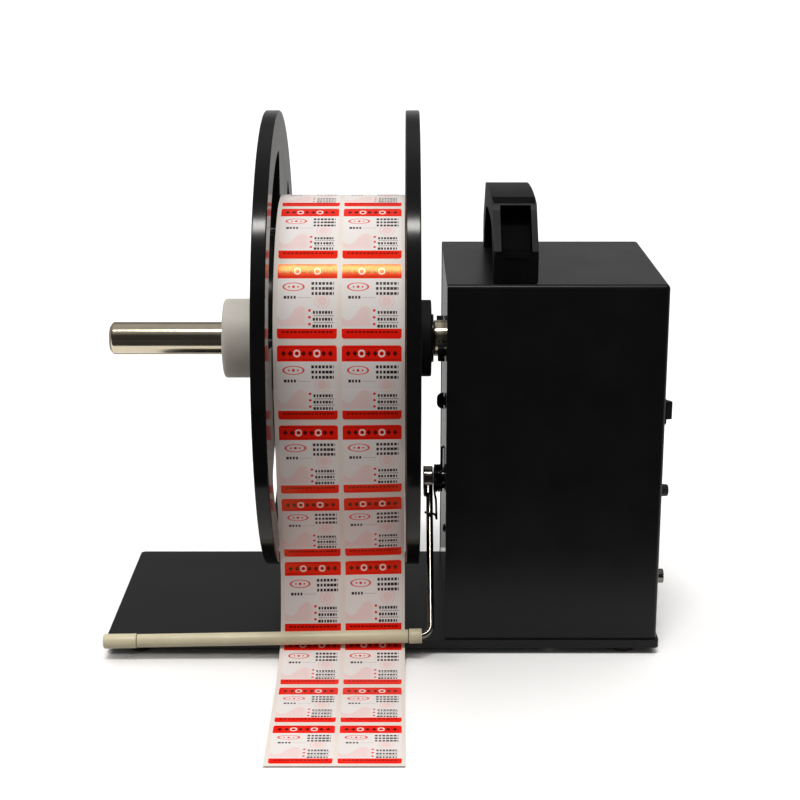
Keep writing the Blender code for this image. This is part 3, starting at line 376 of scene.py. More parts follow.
def soften(points, radius, steps=4, closed=True):
    """Rounds the corners of an outline; radius is one number or one for each point."""
    out, n = [], len(points)
    for i, p in enumerate(points):
        r = radius[i] if isinstance(radius, (list, tuple)) else radius
        if r <= 0 or (not closed and i in (0, n - 1)):
            out.append(tuple(p))
            continue
        a, b, c = Vector(points[i - 1]), Vector(p), Vector(points[(i + 1) % n])
        u, w = a - b, c - b
        lu, lw = u.length, w.length
        u, w = u / lu, w / lw
        angle = u.angle(w)
        if angle > math.radians(177) or angle < math.radians(3):
            out.append(tuple(p))
            continue
        t = min(r / math.tan(angle / 2), lu * 0.49, lw * 0.49)
        rr = t * math.tan(angle / 2)
        centre = b + (u + w).normalized() * (rr / math.sin(angle / 2))
        s, e = b + u * t - centre, b + w * t - centre
        a0 = math.atan2(s.y, s.x)
        turn = (math.atan2(e.y, e.x) - a0 + math.pi) % (2 * math.pi) - math.pi
        for k in range(steps + 1):
            q = a0 + turn * k / steps
            out.append((centre.x + rr * math.cos(q), centre.y + rr * math.sin(q)))
    return out


def revolve(bm, profile, segs=64, closed=False, centre=(0, 0), axis="X", materials=None):
    def at(t, r, k):
        a = 2 * math.pi * k / segs
        u, v = centre[0] + r * math.cos(a), centre[1] + r * math.sin(a)
        return {"X": (t, u, v), "Y": (u, t, v), "Z": (u, v, t)}[axis]

    rings = []
    for t, r in profile:
        rings.append([bm.verts.new(at(t, max(r, 0), k)) for k in range(segs if r > 1e-6 else 1)])
    pairs = list(zip(rings, rings[1:]))
    if closed:
        pairs.append((rings[-1], rings[0]))
    for i, (a, b) in enumerate(pairs):
        if len(a) == 1 and len(b) == 1:
            continue
        for k in range(segs):
            n = (k + 1) % segs
            if len(a) == 1:
                f = bm.faces.new((a[0], b[k], b[n]))
            elif len(b) == 1:
                f = bm.faces.new((a[k], b[0], a[n]))
            else:
                f = bm.faces.new((a[k], b[k], b[n], a[n]))
            if materials:
                f.material_index = materials(profile[i], profile[(i + 1) % len(profile)])
    return bm


def cylinder(bm, axis, r, lo, hi, centre, segs=32):
    return revolve(bm, [(lo, 0), (lo, r), (hi, r), (hi, 0)], segs, False, centre, axis)


def box(bm, x0, x1, y0, y1, z0, z1):
    v = [bm.verts.new((x, y, z)) for x in (x0, x1) for y in (y0, y1) for z in (z0, z1)]
    for f in ((0, 1, 3, 2), (4, 6, 7, 5), (0, 4, 5, 1), (2, 3, 7, 6), (0, 2, 6, 4), (1, 5, 7, 3)):
        bm.faces.new([v[i] for i in f])
    return bm


def prism(bm, axis, outline, lo, hi, rim=0.0, steps=3):
    """Extrudes an outline along an axis, with its two rims rounded."""

    def at(t, u, v):
        return {"X": (t, u, v), "Y": (u, t, v), "Z": (u, v, t)}[axis]

    a = [bm.verts.new(at(lo, u, v)) for u, v in outline]
    b = [bm.verts.new(at(hi, u, v)) for u, v in outline]
    n = len(outline)
    for k in range(n):
        bm.faces.new((a[k], a[(k + 1) % n], b[(k + 1) % n], b[k]))
    caps = [bm.faces.new(a), bm.faces.new(b)]
    if rim:
        edges = list({e for f in caps for e in f.edges})
        bmesh.ops.bevel(bm, geom=edges, offset=rim, segments=steps, profile=0.5, affect="EDGES", clamp_overlap=False)
    return bm


def round_edges(bm, width, segments, wanted):
    edges = [e for e in bm.edges if wanted(e.verts[0].co, e.verts[1].co)]
    bmesh.ops.bevel(bm, geom=edges, offset=width, segments=segments, profile=0.5, affect="EDGES")
    return bm


def smooth_path(points, per=6):
    """Catmull-Rom curve through points."""
    pts = [Vector(p) for p in points]
    out = []
    for i in range(len(pts) - 1):
        p0, p1, p2, p3 = pts[max(i - 1, 0)], pts[i], pts[i + 1], pts[min(i + 2, len(pts) - 1)]
        for k in range(per):
            t = k / per
            out.append(
                0.5 * (2 * p1 + (p2 - p0) * t + (2 * p0 - 5 * p1 + 4 * p2 - p3) * t * t + (3 * p1 - p0 - 3 * p2 + p3) * t ** 3)
            )
    out.append(pts[-1])
    return out


def tube(bm, points, r, sides=24, cap=0.25):
    """A round rod along a path. Its ends are slightly rounded."""
    pts = [Vector(p) for p in points]
    n = len(pts)
    tangents = [(pts[min(i + 1, n - 1)] - pts[max(i - 1, 0)]).normalized() for i in range(n)]
    side = tangents[0].orthogonal().normalized()
    rings = []
    rows = [(pts[0], tangents[0], r - cap)]
    rows.append((pts[0] + tangents[0] * cap * 0.3, tangents[0], r - cap * 0.3))
    rows += [(pts[0] + tangents[0] * cap, tangents[0], r)]
    rows += [(p, t, r) for p, t in list(zip(pts, tangents))[1:-1]]
    rows += [(pts[-1] - tangents[-1] * cap, tangents[-1], r), (pts[-1] - tangents[-1] * cap * 0.3, tangents[-1], r - cap * 0.3)]
    rows.append((pts[-1], tangents[-1], r - cap))
    for p, t, rad in rows:
        side = (side - t * side.dot(t)).normalized()
        other = t.cross(side)
        rings.append(
            [bm.verts.new(p + (side * math.cos(a) + other * math.sin(a)) * rad) for a in (2 * math.pi * k / sides for k in range(sides))]
        )
    for a, b in zip(rings, rings[1:]):
        for k in range(sides):
            m = (k + 1) % sides
            bm.faces.new((a[k], a[m], b[m], b[k]))
    bm.faces.new(rings[0])
    bm.faces.new(rings[-1])
    return bm


def temp_object(bm):
    bmesh.ops.recalc_face_normals(bm, faces=bm.faces)
    me = bpy.data.meshes.new("scratch")
    bm.to_mesh(me)
    bm.free()
    ob = bpy.data.objects.new("scratch", me)
    SCENE.collection.objects.link(ob)
    return ob


def carve(bm, *tools, op="DIFFERENCE"):
    """Cuts or joins shapes at once and gives the result."""
    ob = temp_object(bm)
    helpers = [temp_object(t) for t in tools]
    for h in helpers:
        mod = ob.modifiers.new("cut", "BOOLEAN")
        mod.operation, mod.object, mod.solver = op, h, "EXACT"
    dg = bpy.context.evaluated_depsgraph_get()
    dg.update()
    me = bpy.data.meshes.new_from_object(ob.evaluated_get(dg))
    out = bmesh.new()
    out.from_mesh(me)
    for o in [ob, *helpers]:
        data = o.data
        bpy.data.objects.remove(o, do_unlink=True)
        bpy.data.meshes.remove(data)
    bpy.data.meshes.remove(me)
    return out


def plate(loops, thick, rim, res=3):
    """A flat plate with holes and rounded rims: u, v across it, X through it, centred on X = 0."""
    cu = bpy.data.curves.new("plate", "CURVE")
    cu.dimensions, cu.fill_mode = "2D", "BOTH"
    cu.extrude, cu.bevel_depth, cu.bevel_resolution, cu.offset = thick / 2 - rim, rim, res, -rim
    for loop in loops:
        sp = cu.splines.new("POLY")
        sp.points.add(len(loop) - 1)
        for p, (u, v) in zip(sp.points, loop):
            p.co = (u, v, 0, 1)
        sp.use_cyclic_u = True
    ob = bpy.data.objects.new("plate", cu)
    SCENE.collection.objects.link(ob)
    dg = bpy.context.evaluated_depsgraph_get()
    dg.update()
    me = bpy.data.meshes.new_from_object(ob.evaluated_get(dg))
    bm = bmesh.new()
    bm.from_mesh(me)
    bpy.data.objects.remove(ob, do_unlink=True)
    bpy.data.curves.remove(cu)
    bpy.data.meshes.remove(me)
    bmesh.ops.remove_doubles(bm, verts=bm.verts, dist=0.002)
    for v in bm.verts:
        v.co = Vector((v.co.z, v.co.x, v.co.y))
    return bm


def circle(r, segs=96, centre=(0, 0), start=0.0):
    return [
        (centre[0] + r * math.cos(start + 2 * math.pi * k / segs), centre[1] + r * math.sin(start + 2 * math.pi * k / segs))
        for k in range(segs)
    ]


def make(name, bm, mats, body, nodes=(), at=(0, 0, 0), turn=None, sharp=32.0, weighted=False, recalc=True):
    """Makes the piece, with its mesh in the frame's metres, and lets it ride on its body."""
    if recalc:
        bmesh.ops.recalc_face_normals(bm, faces=bm.faces)
    m = Matrix.Scale(MM, 4) @ Matrix.Translation(SHIFT + Vector(at))
    if turn is not None:
        m = m @ turn
    bm.transform(m)
    me = bpy.data.meshes.new(name)
    bm.to_mesh(me)
    bm.free()
    for mat in mats if isinstance(mats, (list, tuple)) else [mats]:
        me.materials.append(mat)
    me.shade_smooth()
    me.set_sharp_from_angle(angle=math.radians(sharp))
    ob = bpy.data.objects.new(name, me)
    SCENE.collection.objects.link(ob)
    if weighted:
        mod = ob.modifiers.new("face_weights", "WEIGHTED_NORMAL")
        mod.keep_sharp = True
        mod.weight = 100
    if body:
        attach(ob, body)
    if nodes:
        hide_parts(*([nodes] if isinstance(nodes, str) else nodes))
    return ob


HUB = (0, 0, SPINDLE_Z)

# ---------------------------------------------------------------- base and feet
outline = soften([(BASE_X0, BASE_Y0), (BASE_X1, BASE_Y0), (BASE_X1, BASE_Y1), (BASE_X0, BASE_Y1)], 1.8, 6)
make("base_plate_fine", prism(new(), "Z", outline, BASE_Z0, BASE_Z1, 0.45, 3), BLACK_STEEL, "root", "base_plate", weighted=True)
for end, fx in (("left", -142.9), ("right", 122.5)):
    for side, fy in (("front", -51.5), ("rear", 66.4)):
        profile = [(0, 0), (0, 2.2), (0.45, 2.6), (0.45, 4.4), (0, 4.8), (0, 6.2), (1.0, 7.15), (1.5, 7.0), (1.9, 7.15), (3.1, 7.0), (3.1, 2.8), (6.0, 2.8), (6.0, 0)]
        profile = soften(profile, [0, 0.2, 0.15, 0.15, 0.2, 0.3, 0.25, 0.2, 0.2, 0.2, 0.2, 0.2, 0], 3, False)
        make("rubber_foot_%s_%s_fine" % (side, end), revolve(new(), profile, 48, axis="Z"), RUBBER, "root", "rubber_foot_%s_%s" % (side, end), at=(fx, fy, 0))

# ---------------------------------------------------------------- motor housing
bm = box(new(), BOX_X0, BOX_X1, BOX_Y0, BOX_Y1, BOX_Z0, BOX_Z1)
round_edges(
    bm,
    2.4,
    6,
    lambda a, b: (a.z > 200 and b.z > 200 and not (a.x < 30 and b.x < 30)) or (a.x > 130 and b.x > 130 and abs(a.z - b.z) > 1),
)
holes = box(new(), BOX_X1 - 5, BOX_X1 + 5, SWITCH_Y - 9.95, SWITCH_Y + 9.95, SWITCH_Z - 6.1, SWITCH_Z + 6.1)
cylinder(holes, "X", 4.9, BOX_X1 - 5, BOX_X1 + 5, (0, KNOB_Z), 40)
cylinder(holes, "X", 4.4, BOX_X1 - 5, BOX_X1 + 5, (JACK_Y, JACK_Z), 40)
for hy in (-50.0, 55.0):
    cylinder(holes, "Z", 2.4, BOX_Z1 - 4, BOX_Z1 + 4, (60.05, hy), 24)
for sy in (-52.0, 52.0):
    cylinder(holes, "X", 1.7, SIDE_X1 - 0.5, SIDE_X1 + 3, (sy, 69.6), 24)
shell = carve(
    bm,
    box(new(), SIDE_X1 + 0.3 + WALL, BOX_X1 - WALL, BOX_Y0 + WALL, BOX_Y1 - WALL, BOX_Z0 + WALL, BOX_Z1 - WALL),
    box(new(), BOX_X0 - 5, SIDE_X1 + 0.3, BOX_Y0 + WALL, BOX_Y1 - WALL, BOX_Z0 - 5, BOX_Z1 - WALL),
    box(new(), SIDE_X1 - 1, SIDE_X1 + 4, -46, 46, BOX_Z0 - 5, 191),
    box(new(), SIDE_X1 - 0.5, 128, -46.99, 46.99, BOX_Z0 - 5, BOX_Z0 + WALL + 2),
    holes,
)
make("housing_shell_fine", shell, BLACK_STEEL, "root", "housing_shell", weighted=True)

# recessed left wall
side = box(new(), SIDE_X0, SIDE_X1, BOX_Y0 + 1.8, BOX_Y1 - 1.8, BOX_Z0, 203.4)
round_edges(side, 0.35, 2, lambda a, b: a.x < 25 and b.x < 25)
holes = cylinder(new(), "X", 11.0, SIDE_X0 - 2, SIDE_X1 + 2, (0, SPINDLE_Z), 64)
for sy, sz in ((-16.5, -4.0), (16.5, 4.0)):
    cylinder(holes, "X", 2.3, SIDE_X0 - 2, SIDE_X1 + 2, (sy, SPINDLE_Z + sz), 24)
cylinder(holes, "X", 6.35, SIDE_X0 - 2, SIDE_X1 + 2, (0, ARM_PIVOT_Z), 48)
cylinder(holes, "X", 1.3, SIDE_X0 - 2, SIDE_X1 + 2, (7.35, ARM_PIVOT_Z + 16.5), 24)
cylinder(holes, "X", 2.8, SIDE_X0 - 2, SIDE_X1 + 2, (0, 126.7), 24)
for sy in (-52.0, 52.0):
    cylinder(holes, "X", 1.7, SIDE_X0 - 2, SIDE_X1 + 2, (sy, 69.6), 24)
side = carve(side, holes)
side = carve(side, box(new(), SIDE_X1 - 1.0, 44, -44, 44, BOX_Z0, BOX_Z0 + 2.5), op="UNION")
make("side_plate_fine", side, SIDE_COAT, "root", "side_plate", weighted=True)


def hexagon(across):
    r = across / math.sqrt(3)
    return [(r * math.cos(math.radians(60 * k + 30)), r * math.sin(math.radians(60 * k + 30))) for k in range(6)]


def socket_screw(name, node, head_r, head_h, shank_r, shank_l, drive, at, knurl=0, dome=False, mat=DARK_STEEL):
    """A screw along X with its head at -X and a hexagon socket in it."""
    if dome:
        profile = [(-head_h, 0), (-head_h, head_r * 0.42), (-head_h * 0.86, head_r * 0.70), (-head_h * 0.5, head_r * 0.93), (-head_h * 0.12, head_r), (0, head_r * 0.985)]
        profile += [(0, shank_r), (shank_l, shank_r), (shank_l, 0)]
        profile = soften(profile, [0, 0.3, 2.0, 2.0, 0.6, 0.1, 0.1, 0.2, 0], 4, False)
    else:
        profile = [(-head_h, 0), (-head_h, head_r), (0, head_r), (0, shank_r), (shank_l, shank_r), (shank_l, 0)]
        profile = soften(profile, [0, 0.5, 0.15, 0.1, 0.3, 0], 4, False)
    body = revolve(new(), profile, 72 if knurl else 48)
    if knurl:
        for v in body.verts:
            r = math.hypot(v.co.y, v.co.z)
            if r > head_r - 0.02 and -head_h + 0.5 <= v.co.x <= -0.15:
                a = math.atan2(v.co.z, v.co.y)
                k = 1 - 0.035 * (0.5 + 0.5 * math.cos(a * knurl))
                v.co.y *= k
                v.co.z *= k
    cut = prism(new(), "X", hexagon(drive), -head_h - 1, -head_h * 0.42)
    return make(name, carve(body, cut), mat, "root", node, at=at)


def cross_screw(name, node, head_r, head_h, shank_r, shank_l, at, mat=DARK_STEEL):
    profile = [(-head_h, 0), (-head_h, head_r * 0.45), (-head_h * 0.55, head_r * 0.88), (0, head_r), (0, shank_r), (shank_l, shank_r), (shank_l, 0)]
    profile = soften(profile, [0, 0.6, 0.8, 0.1, 0.1, 0.2, 0], 4, False)
    body = revolve(new(), profile, 40)
    w = head_r * 0.17
    a = box(new(), -head_h - 1, -head_h * 0.35, -head_r * 0.55, head_r * 0.55, -w, w)
    b = box(new(), -head_h - 1, -head_h * 0.35, -w, w, -head_r * 0.55, head_r * 0.55)
    return make(name, carve(body, a, b), mat, "root", node, at=at)


for tag, sy in (("front", -52.0), ("rear", 52.0)):
    cross_screw("side_plate_screw_%s_fine" % tag, "side_plate_screw_" + tag, 2.4, 1.4, 1.3, 6.5, (SIDE_X0 - 0.3, sy, 69.6))
for tag, (sy, sz) in (("front", (-16.5, -4.0)), ("rear", (16.5, 4.0))):
    socket_screw("bearing_screw_%s_fine" % tag, "bearing_screw_" + tag, 5.1, 3.8, 2.0, 10.5, 4.6, (SIDE_X0 - 0.3, sy, SPINDLE_Z + sz), knurl=30, mat=SCREW_BLACK)
socket_screw("switch_screw_fine", "switch_screw", 4.7, 3.8, 2.5, 9.2, 3.2, (SIDE_X0 - 0.3, 0, 126.7), dome=True)

# ---------------------------------------------------------------- carrying handle
HANDLE_MID, HANDLE_Z = 60.05, BOX_Z1 + 0.3
outer = [(59.3, 0), (59.3, 14), (58.5, 16.5), (41.8, 35.2), (39.1, 38.2), (27, 39.8), (13.5, 40.7), (0, 41)]
under = [(0, 28.5), (14.6, 28.2), (28, 26.2), (32.2, 23.8), (44.3, 10.5), (45.8, 7.5), (45.8, 0)]
outline = outer + [(-y, z) for y, z in reversed(outer[:-1])]
outline += [(-y, z) for y, z in reversed(under)] + under[1:]
radii = []
for y, z in outline:
    radii.append({14: 1.5, 16.5: 1.5, 35.2: 2.0, 38.2: 1.6, 39.8: 20.0, 23.8: 4.0, 10.5: 4.0}.get(z, 6.0 if z > 1 else 0))
grip = prism(new(), "X", soften(outline, radii, 4), HANDLE_X0, HANDLE_X1, 0.8, 4)
pockets = []
for s in (-1, 1):
    cut = [(65, 14.9), (46.4, 14.9), (45.1, 15.7), (32.9, 29.2), (33.0, 30.4), (39.6, 37.5), (46, 44), (65, 44)]
    cut = [(s * y, z) for y, z in cut]
    body = prism(new(), "X", cut, 52.3, 68.4)
    pockets.append(body)
    # the plain foot has a shallow panel, so its top shows as a small step
    step = prism(new(), "X", [(s * 63, 0.9), (s * 58.85, 0.9), (s * 58.85, 12.9), (s * 63, 12.9)], 53.8, 66.3)
    pockets.append(step)
for hy in (-52.5, 52.5):
    cylinder(pockets[0] if hy < 0 else pockets[2], "Z", 2.4, -2, 11.5, (HANDLE_MID, hy), 24)
grip = carve(grip, *pockets)
grip.normal_update()
for f in grip.faces:
    c = f.calc_center_median()
    deep = 0.746 * abs(c.y) + 0.666 * c.z
    # faces inside the two pockets get the darker finish, painted shade
    if 52.2 < c.x < 68.5 and 43.3 < deep < 54.2 and c.z > 14.6 and abs(c.y) > 20:
        f.material_index = 1
    # the sloping facets at the top of the grip get the lighter finish, a painted highlight
    elif 26.5 < abs(c.y) < 43.6 and 34.3 < c.z < 40.6 and abs(f.normal.z) > 0.45:
        f.material_index = 2
make("carry_handle_fine", grip, [HANDLE_PLASTIC, HANDLE_RECESS_SHADE, HANDLE_PAINTED_HIGHLIGHT], "root", "carry_handle", at=(0, 2.5, HANDLE_Z), weighted=True)

# ---------------------------------------------------------------- spindle and fixed flange
profile = [
    (-160.8, 0), (-160.8, 6.8), (-159.0, 9.0), (18.9, 9.0), (18.9, 10.0), (27.0, 10.0), (27.0, 6.0), (72.0, 6.0), (72.0, 5.0),
    (73.8, 5.0), (73.8, 6.0), (76.0, 6.0), (76.0, 0),
]
profile = soften(profile, [0, 0.7, 1.5, 0.1, 0.4, 0.4, 0.2, 0.1, 0.1, 0.1, 0.1, 0.5, 0], 5, False)
make("spindle_shaft_fine", revolve(new(), profile, 96), NICKEL, "spindle", "spindle_shaft", at=HUB)


def window_loop(a0, a1):
    c, pts = WINDOW_CORNER, []

    def put(r, a):
        pts.append((-r * math.sin(a), r * math.cos(a)))

    a0, a1 = math.radians(a0), math.radians(a1)
    t1, t0 = c / (WINDOW_R1 - c), c / (WINDOW_R0 + c)
    for k in range(41):
        put(WINDOW_R1, a0 + t1 + (a1 - a0 - 2 * t1) * k / 40)
    for q in range(10, 90, 10):
        put(WINDOW_R1 - c + c * math.cos(math.radians(q)), a1 - t1 + t1 * math.sin(math.radians(q)))
    put(WINDOW_R1 - c, a1)
    put(WINDOW_R0 + c, a1)
    for q in range(80, 0, -10):
        put(WINDOW_R0 + c - c * math.cos(math.radians(q)), a1 - t0 + t0 * math.sin(math.radians(q)))
    for k in range(25):
        put(WINDOW_R0, a1 - t0 - (a1 - a0 - 2 * t0) * k / 24)
    for q in range(10, 90, 10):
        put(WINDOW_R0 + c - c * math.cos(math.radians(q)), a0 + t0 - t0 * math.sin(math.radians(q)))
    put(WINDOW_R0 + c, a0)
    put(WINDOW_R1 - c, a0)
    for q in range(80, 0, -10):
        put(WINDOW_R1 - c + c * math.cos(math.radians(q)), a0 + t1 - t1 * math.sin(math.radians(q)))
    return pts


def flange(name, node, body, x0, x1):
    loops = [circle(FLANGE_R, 256), circle(12.6, 64)] + [window_loop(a, b) for a, b in WINDOW_SPANS]
    bm = plate(loops, x1 - x0, 0.7, 3)
    for f in bm.faces:
        c = f.calc_center_median()
        if math.hypot(c.y, c.z) > FLANGE_R - 0.6:
            f.material_index = 1
    return make(name, bm, [FLANGE_FACE, FLANGE_RIM], body, node, at=((x0 + x1) / 2, 0, SPINDLE_Z), weighted=True)


flange("fixed_flange_fine", "fixed_flange", "spindle", 3.0, 10.5)
flange("outer_flange_fine", "outer_flange", "outer_flange", -72.8, -65.3)

profile = [(-20, 9.3), (-20, 12.3), (10.8, 12.3), (10.8, 21.3), (17.3, 21.3), (17.3, 9.3)]
hub = revolve(new(), soften(profile, [0.3, 0.5, 0.1, 0.4, 0.8, 0.3], 4), 96, True)
hub = carve(hub, cylinder(new(), "Y", 2.3, 5, 25, (14.0, 0), 32))
make("fixed_hub_fine", hub, HUB_PLASTIC, "spindle", "fixed_hub", at=HUB, weighted=True)
profile = [(17.6, 9.3), (17.6, 13.35), (18.6, 13.35), (18.6, 9.3)]
make("stop_washer_fine", revolve(new(), soften(profile, 0.15, 3), 64, True), DARK_STEEL, "spindle", "stop_washer", at=HUB)

# ---------------------------------------------------------------- outer flange's hub
profile = [
    (-97.3, 9.3), (-97.3, 22.0), (-73.1, 22.0), (-73.1, 12.3), (-40, 12.3), (-40, 9.3),
    (-84.6, 9.3), (-84.6, 11.0), (-88.0, 11.0), (-88.0, 9.3),
]
profile = soften(profile, [0.5, 1.6, 0.5, 0.1, 0.6, 0.2, 0.2, 0.1, 0.1, 0.2], 6)
make("outer_hub_fine", revolve(new(), profile, 96, True), NYLON, "outer_flange", "outer_hub", at=HUB)

# ---------------------------------------------------------------- core and roll
profile = [(WEB_X0, 12.9), (WEB_X0, 16.5), (WEB_X1, 16.5), (WEB_X1, 12.9)]
make("paper_core_fine", revolve(new(), soften(profile, 0.3, 2), 96, True), CARD, "spindle", "paper_core", at=HUB)
LINER_R = ROLL_R - 0.10
profile = [(WEB_X0, 16.8), (WEB_X0, LINER_R), (WEB_X1, LINER_R), (WEB_X1, 16.8)]
profile = soften(profile, [0.2, 0.25, 0.25, 0.2], 3)
make(
    "label_roll_fine",
    revolve(new(), profile, 240, True, materials=lambda a, b: 0 if min(a[1], b[1]) > LINER_R - 0.3 else 1),
    [LINER, WOUND],
    "spindle",
    "label_roll",
    at=HUB,
)


def label_patch(bm, uv, place_at, x0, s0, thick, first=0.0):
    """One die-cut label with rounded corners, or the rest of it past first: place_at(x, s, h) gives its points."""
    r = 1.3
    cuts = [0.0, 0.12, 0.36, 0.75, r]
    n = 14
    rows = cuts + [r + (HEAD - r) * k / 3 for k in range(1, 4)]
    rows += [HEAD + (FOOT - HEAD) * k / n for k in range(1, n + 1)]
    rows += [FOOT + (LABEL_H - r - FOOT) * k / 2 for k in range(1, 3)]
    rows += [LABEL_H - c for c in reversed(cuts[:-1])]
    if first > 0:
        rows = [first] + [s for s in rows if s > first + 0.3]
    top, low = [], []
    for s in rows:
        d = min(s, LABEL_H - s)
        inset = r - math.sqrt(max(0.0, r * r - (r - d) ** 2)) if d < r else 0.0
        xs = [inset + (LABEL_W - 2 * inset) * k / 6 for k in range(7)]
        top.append([(bm.verts.new(place_at(x0 + x, s0 + s, thick)), x, s) for x in xs])
        low.append([(bm.verts.new(place_at(x0 + x, s0 + s, 0.0)), x, s) for x in xs])

    def face(corners, s):
        f = bm.faces.new([c[0] for c in corners])
        for loop, c in zip(f.loops, corners):
            loop[uv].uv = (c[1] / UNIT, c[2] / UNIT)
        f.material_index = 0 if HEAD < s < FOOT else 1

    for i in range(len(rows) - 1):
        s = (rows[i] + rows[i + 1]) / 2
        for k in range(6):
            face((top[i][k], top[i + 1][k], top[i + 1][k + 1], top[i][k + 1]), s)
            face((low[i][k], low[i][k + 1], low[i + 1][k + 1], low[i + 1][k]), s)
        face((top[i][0], low[i][0], low[i + 1][0], top[i + 1][0]), s)
        face((top[i][6], top[i + 1][6], low[i + 1][6], low[i][6]), s)
    for i, flip in ((0, False), (len(rows) - 1, True)):
        for k in range(6):
            q = (top[i][k], top[i][k + 1], low[i][k + 1], low[i][k])
            face(q[::-1] if flip else q, rows[i])


ROLL_START = math.radians(6.0)      # the web leaves the roll this far below its forward horizontal


def on_roll(x, s, h):
    a = ROLL_START + s / (ROLL_R + 0.1)
    r = LINER_R + 0.005 + h
    return (x, -r * math.cos(a), -r * math.sin(a))


bm = new()
uv = bm.loops.layers.uv.new("print")
first = 1 - 11
for row in range(first, 1):
    for x0 in COLUMNS:
        label_patch(bm, uv, on_roll, x0, LABEL_START + row * LABEL_PITCH, 0.09)
make("roll_labels", bm, [LABEL_FACE, LABEL_INK], "spindle", at=HUB)

# ---------------------------------------------------------------- label web
ROLLER_AT = Vector((ARM_X - ARM_BEND_R, -math.cos(ARM_ANGLE) * ARM_LENGTH, ARM_PIVOT_Z - math.sin(ARM_ANGLE) * ARM_LENGTH))


ROUTE = (
    (-79.34, 154.46), (-77.7, 144.0), (-75.7, 134.0), (-72.8, 115.0), (-67.9, 93.0), (-60.4, 73.0), (-54.8, 57.0),
    (-52.5, 45.0), (-54.0, 33.0), (-56.8, 22.0), (-60.0, 13.4), (-63.0, 9.8), (-66.0, 7.75), (-72.0, 5.9),
    (-80.0, 3.8), (-90.0, 1.9), (-100.0, 0.85), (-108.0, 0.55), (-120.0, 0.525), (-150.0, 0.525), (-192.5, 0.525),
)
# middle line of the web from the side: off the roll, behind and under the roller, on the table
WEB = smooth_path([(0, y, z) for y, z in ROUTE], 12)
for p in WEB:
    p.z = max(p.z, 0.525)
WEB_S = [0.0]
for a, b in zip(WEB, WEB[1:]):
    WEB_S.append(WEB_S[-1] + (b - a).length)
WEB_LENGTH = WEB_S[-1]
WEB_MID = (WEB_X0 + WEB_X1) / 2


def on_web(x, s, h, base=0.07):
    """A point of the web: x across, s along, h above its printed face. Its start is thinned and lies close on the roll."""
    s = min(max(s, 0.0), WEB_LENGTH)
    lo, hi = 0, len(WEB_S) - 1
    while hi - lo > 1:
        mid = (lo + hi) // 2
        if WEB_S[mid] <= s:
            lo = mid
        else:
            hi = mid
    i = lo
    f = (s - WEB_S[i]) / (WEB_S[i + 1] - WEB_S[i])

    def tangent(k):
        return (WEB[min(k + 1, len(WEB) - 1)] - WEB[max(k - 1, 0)]).normalized()

    p = WEB[i].lerp(WEB[i + 1], f)
    t = tangent(i).lerp(tangent(i + 1), f).normalized()
    n = Vector((0, t.z, -t.y))
    full = min(1.0, 0.25 + 0.75 * s / 9.0)
    away = Vector((0, p.y, p.z - SPINDLE_Z))
    ease = max(0.0, 1 - s / 18.0) ** 2
    p = p - away.normalized() * (away.length - (LINER_R + 0.13)) * ease
    n = n.lerp(away.normalized(), ease).normalized()
    # the free stretch is cupped very slightly across its width
    cup = -0.45 * (math.sin(math.pi * s / 150.0) if s < 150 else 0.0) * ((x - WEB_MID) / 33.8) ** 2
    q = p + n * ((base + h) * full + cup)
    return (x, q.y, q.z)


def skew(s):
    """How far the left column of the print lags behind the right one."""
    return 1.7 * math.exp(-(((s - 85.0) / 55.0) ** 2))


def strip(bm, rows, xs, thick):
    """The liner as one closed thin sheet."""
    top = [[bm.verts.new(on_web(x, s, 0.0)) for x in xs] for s in rows]
    low = [[bm.verts.new(on_web(x, s, -thick)) for x in xs] for s in rows]
    n = len(xs) - 1
    for i in range(len(rows) - 1):
        for k in range(n):
            bm.faces.new((top[i][k], top[i + 1][k], top[i + 1][k + 1], top[i][k + 1]))
            bm.faces.new((low[i][k], low[i][k + 1], low[i + 1][k + 1], low[i + 1][k]))
        bm.faces.new((top[i][0], low[i][0], low[i + 1][0], top[i + 1][0]))
        bm.faces.new((top[i][n], top[i + 1][n], low[i + 1][n], low[i][n]))
    for k in range(n):
        bm.faces.new((top[0][k], top[0][k + 1], low[0][k + 1], low[0][k]))
        bm.faces.new((top[-1][k], low[-1][k], low[-1][k + 1], top[-1][k + 1]))
    return bm


rows = [WEB_LENGTH * k / 150 for k in range(151)]
xs = [WEB_X0 + (WEB_X1 - WEB_X0) * k / 12 for k in range(13)]
web = make("label_web_fine", strip(new(), rows, xs, 0.14), LINER, "root", "label_web")
bm = new()
uv = bm.loops.layers.uv.new("print")


def on_web_skewed(x, s, h):
    return on_web(x, s + skew(s) * (WEB_MID - x) / 33.0 * 0.5, h)


# the label that the web's start cuts through comes first
for x0 in COLUMNS:
    label_patch(bm, uv, on_web_skewed, x0, LABEL_START - LABEL_PITCH, 0.09, LABEL_PITCH - LABEL_START)
row = 0
while LABEL_START + row * LABEL_PITCH + LABEL_H < WEB_LENGTH - 1.6:
    start = LABEL_START + row * LABEL_PITCH + 0.45 * max(0, row - 2)
    for x0 in COLUMNS:
        label_patch(bm, uv, on_web_skewed, x0, start, 0.09)
    row += 1
web_labels = make("web_labels", bm, [LABEL_FACE, LABEL_INK], "root")


# ---------------------------------------------------------------- tension arm
def along_arm(t, side=0.0, x=0.0):
    c, s = math.cos(ARM_ANGLE), math.sin(ARM_ANGLE)
    return Vector((x, -c * t + s * side, -s * t - c * side))


